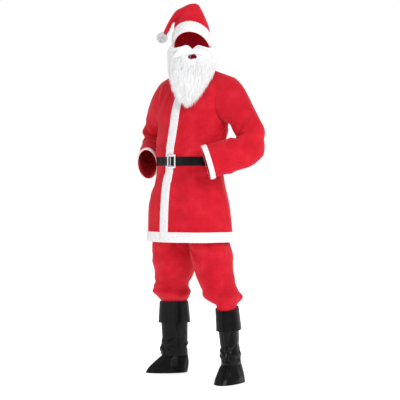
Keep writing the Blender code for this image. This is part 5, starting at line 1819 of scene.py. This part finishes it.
# %% [markdown]
# ## Beard and moustache
# The beard is long modacrylic hair on a cloth backing that hangs from the ears. Under the
# hair there is a body of soft locks, so no gap shows. Over it lie several thousand strands:
# each starts on the body, follows it down, drifts a little sideways and ends in a taper
# past the lower edge. The opening for the mouth stays clear.

# %% Beard tables
HEAD_TURN = 39.0
BeardRing = namedtuple("BeardRing", "height half_width reach forward turn")
BEARD_RINGS = (
    BeardRing(1.345, 0.072, 0.060, 0.0550, 27),
    BeardRing(1.440, 0.100, 0.066, 0.0588, 30),
    BeardRing(1.500, 0.108, 0.078, 0.0474, 34),
    BeardRing(1.560, 0.108, 0.100, 0.020, 38),
    BeardRing(1.610, 0.104, 0.112, 0.002, HEAD_TURN),
    BeardRing(1.655, 0.098, 0.104, 0.000, HEAD_TURN),
)
BeardEdge = namedtuple("BeardEdge", "angle top bottom")
BEARD_EDGES = (
    BeardEdge(0, 1.628, 1.375),
    BeardEdge(12, 1.646, 1.385),
    BeardEdge(30, 1.642, 1.415),
    BeardEdge(50, 1.638, 1.486),
    BeardEdge(68, 1.645, 1.562),
    BeardEdge(84, 1.6555, 1.606),
)
BEARD_BACKING = 0.005
BEARD_LOCK = 0.011
MoustacheRing = namedtuple("MoustacheRing", "angle height half_height thickness")
MOUSTACHE_RINGS = (
    MoustacheRing(0, 1.613, 0.010, 0.005),
    MoustacheRing(13, 1.622, 0.020, 0.014),
    MoustacheRing(27, 1.614, 0.018, 0.013),
    MoustacheRing(40, 1.600, 0.012, 0.009),
    MoustacheRing(50, 1.590, 0.005, 0.004),
)
MOUSTACHE_SEAT = 0.0141
print("beard length", round(BEARD_EDGES[0].top - BEARD_EDGES[0].bottom, 3), "m")

# %% Beard surface
def beard_point(angle, height):
    """Back of the beard at an angle round the face, 0 straight ahead of it."""
    half_width, reach, forward, head_turn = sample(BEARD_RINGS, height)
    ahead = compass(head_turn)
    left = np.array((-ahead[1], ahead[0], 0.0))
    turn = math.radians(angle)
    point = ahead * (forward + reach * math.cos(turn)) + left * half_width * math.sin(turn)
    return point + np.array((0, 0, height))


def beard_frame(angle, height):
    """A point on the back of the beard and its outward direction."""
    here = beard_point(angle, height)
    across = beard_point(angle + 1, height) - beard_point(angle - 1, height)
    up = beard_point(angle, height + 0.004) - beard_point(angle, height - 0.004)
    return here, unit(np.cross(across, up))


BEARD_WIDEST = BEARD_EDGES[-1].angle
BODY_COLUMNS = 120
BODY_ROWS = 50
MOUTH_LOW, MOUTH_HIGH, MOUTH_HALF_ANGLE = 1.578, 1.603, 11.5


def body_swell(share):
    """Thickness of the hair body from its lower edge, 0, to its upper edge, 1."""
    return math.sin(math.pi * (0.12 + 0.78 * share))


chance = np.random.default_rng(7)
lock_phase = chance.uniform(0, 2 * math.pi, 6)
rows, offsets = [], []
for r in range(BODY_ROWS):
    row, offset = [], []
    for c in range(BODY_COLUMNS + 1):
        angle = BEARD_WIDEST * (2 * c / BODY_COLUMNS - 1)
        top, bottom = sample(BEARD_EDGES, abs(angle))
        share = r / (BODY_ROWS - 1)
        ragged = 0.010 * math.sin(angle * 1.1 + lock_phase[0])
        ragged += 0.006 * math.sin(angle * 2.7 + lock_phase[1])
        height = bottom + (top - bottom) * share + ragged * (1 - share) ** 2
        wander = angle + 2.0 * math.sin(height * 45 + lock_phase[2])
        locks = 0.5 + 0.25 * math.sin(wander * 0.9) + 0.25 * math.sin(wander * 2.3 + lock_phase[3])
        row.append(beard_point(angle, height))
        offset.append(BEARD_BACKING + BEARD_LOCK * body_swell(share) * (0.45 + 0.45 * locks))
    rows.append(row)
    offsets.append(offset)
hair_points, hair_offsets = np.array(rows), np.array(offsets)
hair_normals = grid_normals(hair_points)
holes = set()
for r in range(BODY_ROWS - 1):
    for c in range(BODY_COLUMNS):
        angle = BEARD_WIDEST * (2 * (c + 0.5) / BODY_COLUMNS - 1)
        height = hair_points[r, c][2]
        half = MOUTH_HALF_ANGLE * math.sqrt(max(0.0, 1 - ((height - 1.590) / 0.0135) ** 2))
        if abs(angle) < half:
            holes.add((r, c))
hair_body = wall_mesh("beard_body", hair_points, hair_normals, 0.0, hair_offsets, holes=holes)
finished("beard_body_hair", hair_body, white_hair, ("beard",), "white_fibre")
print("beard body faces", len(hair_body.polygons))

# %% [markdown]
# ### Strands
# Each strand is first a short line of points with a radius at each. A node tree turns all
# the lines into curves and sweeps a triangle along them, so one tree makes every strand.

# %% The strand tree
def strand_tree():
    """Sweep a small profile along every line of a mesh, by its own radius attribute."""
    tree = bpy.data.node_groups.new("swept_strands", "GeometryNodeTree")
    tree.interface.new_socket("Lines", in_out="INPUT", socket_type="NodeSocketGeometry")
    tree.interface.new_socket("Sides", in_out="INPUT", socket_type="NodeSocketInt").default_value = 3
    tree.interface.new_socket("Finish", in_out="INPUT", socket_type="NodeSocketMaterial")
    tree.interface.new_socket("Strands", in_out="OUTPUT", socket_type="NodeSocketGeometry")
    start = node(tree, "NodeGroupInput").outputs
    thickness = node(tree, "GeometryNodeInputNamedAttribute", {"Name": "thickness"}, data_type="FLOAT")
    curves = node(tree, "GeometryNodeMeshToCurve", links={"Mesh": start["Lines"]})
    profile = node(
        tree, "GeometryNodeCurvePrimitiveCircle", {"Radius": 1.0}, {"Resolution": start["Sides"]},
    )
    swept = node(
        tree, "GeometryNodeCurveToMesh",
        links={
            "Curve": curves.outputs[0], "Profile Curve": profile.outputs[0], "Scale": thickness.outputs[0],
        },
    )
    real = node(tree, "GeometryNodeRealizeInstances", links={"Geometry": swept.outputs[0]})
    finish = node(
        tree, "GeometryNodeSetMaterial", links={"Geometry": real.outputs[0], "Material": start["Finish"]}
    )
    node(tree, "NodeGroupOutput", links={"Strands": finish.outputs[0]})
    return tree


swept_strands = strand_tree()


def sweep(name, lines, radii, made_of, slot):
    """One piece of swept strands from lines of points and the radius at each point."""
    points, edges, sizes = [], [], []
    for line, radius in zip(lines, radii):
        first = len(points)
        points += [tuple(p - np.array((0, 0, ORIGIN_HEIGHT))) for p in line]
        edges += [(first + k, first + k + 1) for k in range(len(line) - 1)]
        sizes += list(radius)
    mesh = bpy.data.meshes.new("lines")
    mesh.from_pydata(points, edges, [])
    thickness = mesh.attributes.new("thickness", "FLOAT", "POINT")
    thickness.data.foreach_set("value", sizes)
    helper = bpy.data.objects.new("lines", mesh)
    bpy.context.scene.collection.objects.link(helper)
    made = run_tree(name, helper, swept_strands, Sides=3, Finish=made_of)
    made.materials.clear()
    thing = finished(name, made, made_of, (), slot)
    print(f"{name}: {len(lines)} strands, {len(made.polygons)} faces")
    return thing

# %% Beard strands
STRAND_COUNT = 4200
STRAND_POINTS = 7
STRAND_RADIUS = 0.0010

chance = np.random.default_rng(19)
lines, radii = [], []
while len(lines) < STRAND_COUNT:
    angle = chance.uniform(-BEARD_WIDEST, BEARD_WIDEST)
    top, bottom = sample(BEARD_EDGES, abs(angle))
    share = chance.uniform(0.0, 0.97) ** 0.85
    root = bottom + (top - bottom) * share
    length = chance.uniform(0.045, 0.105)
    if MOUTH_LOW - 0.004 < root < MOUTH_HIGH + 0.03 and abs(angle) < MOUTH_HALF_ANGLE + 1.5:
        continue
    if root - length < bottom - 0.030:
        length = root - bottom + chance.uniform(0.004, 0.030)
    drift = chance.normal(0, 3.0) + angle * 0.05
    level = chance.uniform(0.55, 1.10)
    wave, phase = chance.uniform(0.0004, 0.0022), chance.uniform(0, 2 * math.pi)
    curl = chance.uniform(-2.5, 2.5)
    line = []
    for k in range(STRAND_POINTS):
        t = k / (STRAND_POINTS - 1)
        height = root - length * t
        turned = angle + drift * t + curl * t * t
        here, outward = beard_frame(max(-92, min(92, turned)), height)
        place = min(max((height - bottom) / (top - bottom), 0.0), 1.0)
        lift = BEARD_BACKING + BEARD_LOCK * body_swell(place) * level
        lift += wave * math.sin(phase + t * 7) + 0.003 * t * t * chance.uniform(0.3, 1.0)
        line.append(here + outward * lift)
    lines.append(line)
    taper = np.array([0.85, 1.0, 1.0, 0.92, 0.75, 0.5, 0.12])
    radii.append(STRAND_RADIUS * chance.uniform(0.7, 1.2) * taper)
sweep("beard_strands", lines, radii, white_hair, "white_fibre")

# %% [markdown]
# ### Moustache
# Two combed lobes start under the nose and sweep outwards and down to a point. A soft body
# carries strands that fan from the middle.

# %% Moustache body
MOUSTACHE_WIDEST = MOUSTACHE_RINGS[-1].angle
MOUSTACHE_ROWS, MOUSTACHE_COLUMNS = 14, 72
rows, offsets = [], []
for r in range(MOUSTACHE_ROWS + 1):
    across = 2 * r / MOUSTACHE_ROWS - 1
    row, offset = [], []
    for c in range(MOUSTACHE_COLUMNS + 1):
        angle = MOUSTACHE_WIDEST * (2 * c / MOUSTACHE_COLUMNS - 1)
        height, half_height, thick = sample(MOUSTACHE_RINGS, abs(angle))
        row.append(beard_point(angle, height + half_height * across))
        combed = 0.85 + 0.15 * math.sin(across * 11 + abs(angle) * 0.25)
        offset.append(MOUSTACHE_SEAT + thick * (0.15 + 0.75 * (1 - across * across)) * combed)
    rows.append(row)
    offsets.append(offset)
lip_points, lip_offsets = np.array(rows), np.array(offsets)
lip_mesh = wall_mesh("moustache_body", lip_points, grid_normals(lip_points), MOUSTACHE_SEAT, lip_offsets)
finished("moustache_body_hair", lip_mesh, white_hair, ("moustache",), "white_fibre")
print("moustache body faces", len(lip_mesh.polygons))

# %% Moustache strands
MOUSTACHE_STRANDS = 1100
MOUSTACHE_STRAND_POINTS = 6
MOUSTACHE_STRAND_RADIUS = 0.0009

chance = np.random.default_rng(23)
lines, radii = [], []
for _ in range(MOUSTACHE_STRANDS):
    side = 1 if chance.uniform() < 0.5 else -1
    start = chance.uniform(0.5, 34)
    reach = min(chance.uniform(12, 26), MOUSTACHE_WIDEST + 4 - start)
    across = chance.uniform(-0.95, 0.95)
    level = chance.uniform(0.6, 1.1)
    line = []
    for k in range(MOUSTACHE_STRAND_POINTS):
        t = k / (MOUSTACHE_STRAND_POINTS - 1)
        angle = start + reach * t
        height, half_height, thick = sample(MOUSTACHE_RINGS, min(angle, MOUSTACHE_WIDEST))
        lane = across * (1 - 0.25 * t) - 0.15 * t
        here, outward = beard_frame(side * angle, height + half_height * lane)
        lift = MOUSTACHE_SEAT + thick * (0.2 + 0.8 * (1 - lane * lane)) * level
        line.append(here + outward * lift)
    lines.append(line)
    taper = np.array([0.7, 1.0, 1.0, 0.8, 0.5, 0.12])
    radii.append(MOUSTACHE_STRAND_RADIUS * chance.uniform(0.7, 1.2) * taper)
sweep("moustache_strands", lines, radii, white_hair, "white_fibre")

# %% [markdown]
# ## Floor and light
# A pale floor and a white room keep the picture plain. The floor glows a little, as paper on
# a light table does, so that it stays white far behind the suit. One wide key light stands
# at the suit's left front, a weaker one fills its right side, and one behind draws the edges.

# %% Floor
floor_mesh = bpy.data.meshes.new("studio_floor")
FLOOR_HALF = 14.0
FLOOR_HEIGHT = cad_box[0][2] - 0.001
corners = [
    (x * FLOOR_HALF, y * FLOOR_HALF, FLOOR_HEIGHT) for x, y in ((-1, -1), (1, -1), (1, 1), (-1, 1))
]
floor_mesh.from_pydata(corners, [], [(0, 1, 2, 3)])
floor = bpy.data.objects.new("studio_floor", floor_mesh)
floor_paint, _, _ = new_material(
    "back_lit_white_paper", Base_Color=linear("#F6F6F6"), Roughness=0.9,
    Emission_Color=linear("#FFFFFF"), Emission_Strength=0.52,
)
floor_mesh.materials.append(floor_paint)
bpy.context.scene.collection.objects.link(floor)
print("floor at", round(FLOOR_HEIGHT, 4))

# %% Light
# The room lights the suit at this strength, and is seen as plain white
ROOM_LIGHT = 0.56
world = bpy.data.worlds.new("white_room")
world.use_nodes = True
room = world.node_tree.nodes["Background"]
room.inputs["Color"].default_value = linear("#FFFFFF")
seen = node(world.node_tree, "ShaderNodeLightPath").outputs["Is Camera Ray"]
node(
    world.node_tree, "ShaderNodeMapRange", {"To Min": ROOM_LIGHT, "To Max": 1.0}, {"Value": seen},
    into=room.inputs["Strength"],
)
bpy.context.scene.world = world


def soft_light(name, compass_angle, distance, height, size, power):
    """A square area light aimed at the middle of the suit."""
    data = bpy.data.lights.new(name, "AREA")
    data.size = size
    data.energy = power
    lamp = bpy.data.objects.new(name, data)
    direction = compass(compass_angle)
    lamp.location = (direction[0] * distance, direction[1] * distance, height)
    lamp.rotation_euler = (Vector((0, 0, -0.5)) - lamp.location).to_track_quat("-Z", "Y").to_euler()
    bpy.context.scene.collection.objects.link(lamp)
    return lamp


soft_light("key", 72, 3.6, 1.6, 1.8, 74)
soft_light("fill", -20, 4.2, 0.6, 2.6, 22)
soft_light("rim", 200, 3.4, 1.4, 1.6, 45)
bpy.context.scene.view_settings.view_transform = "Standard"
print("lights", len(bpy.data.lights))
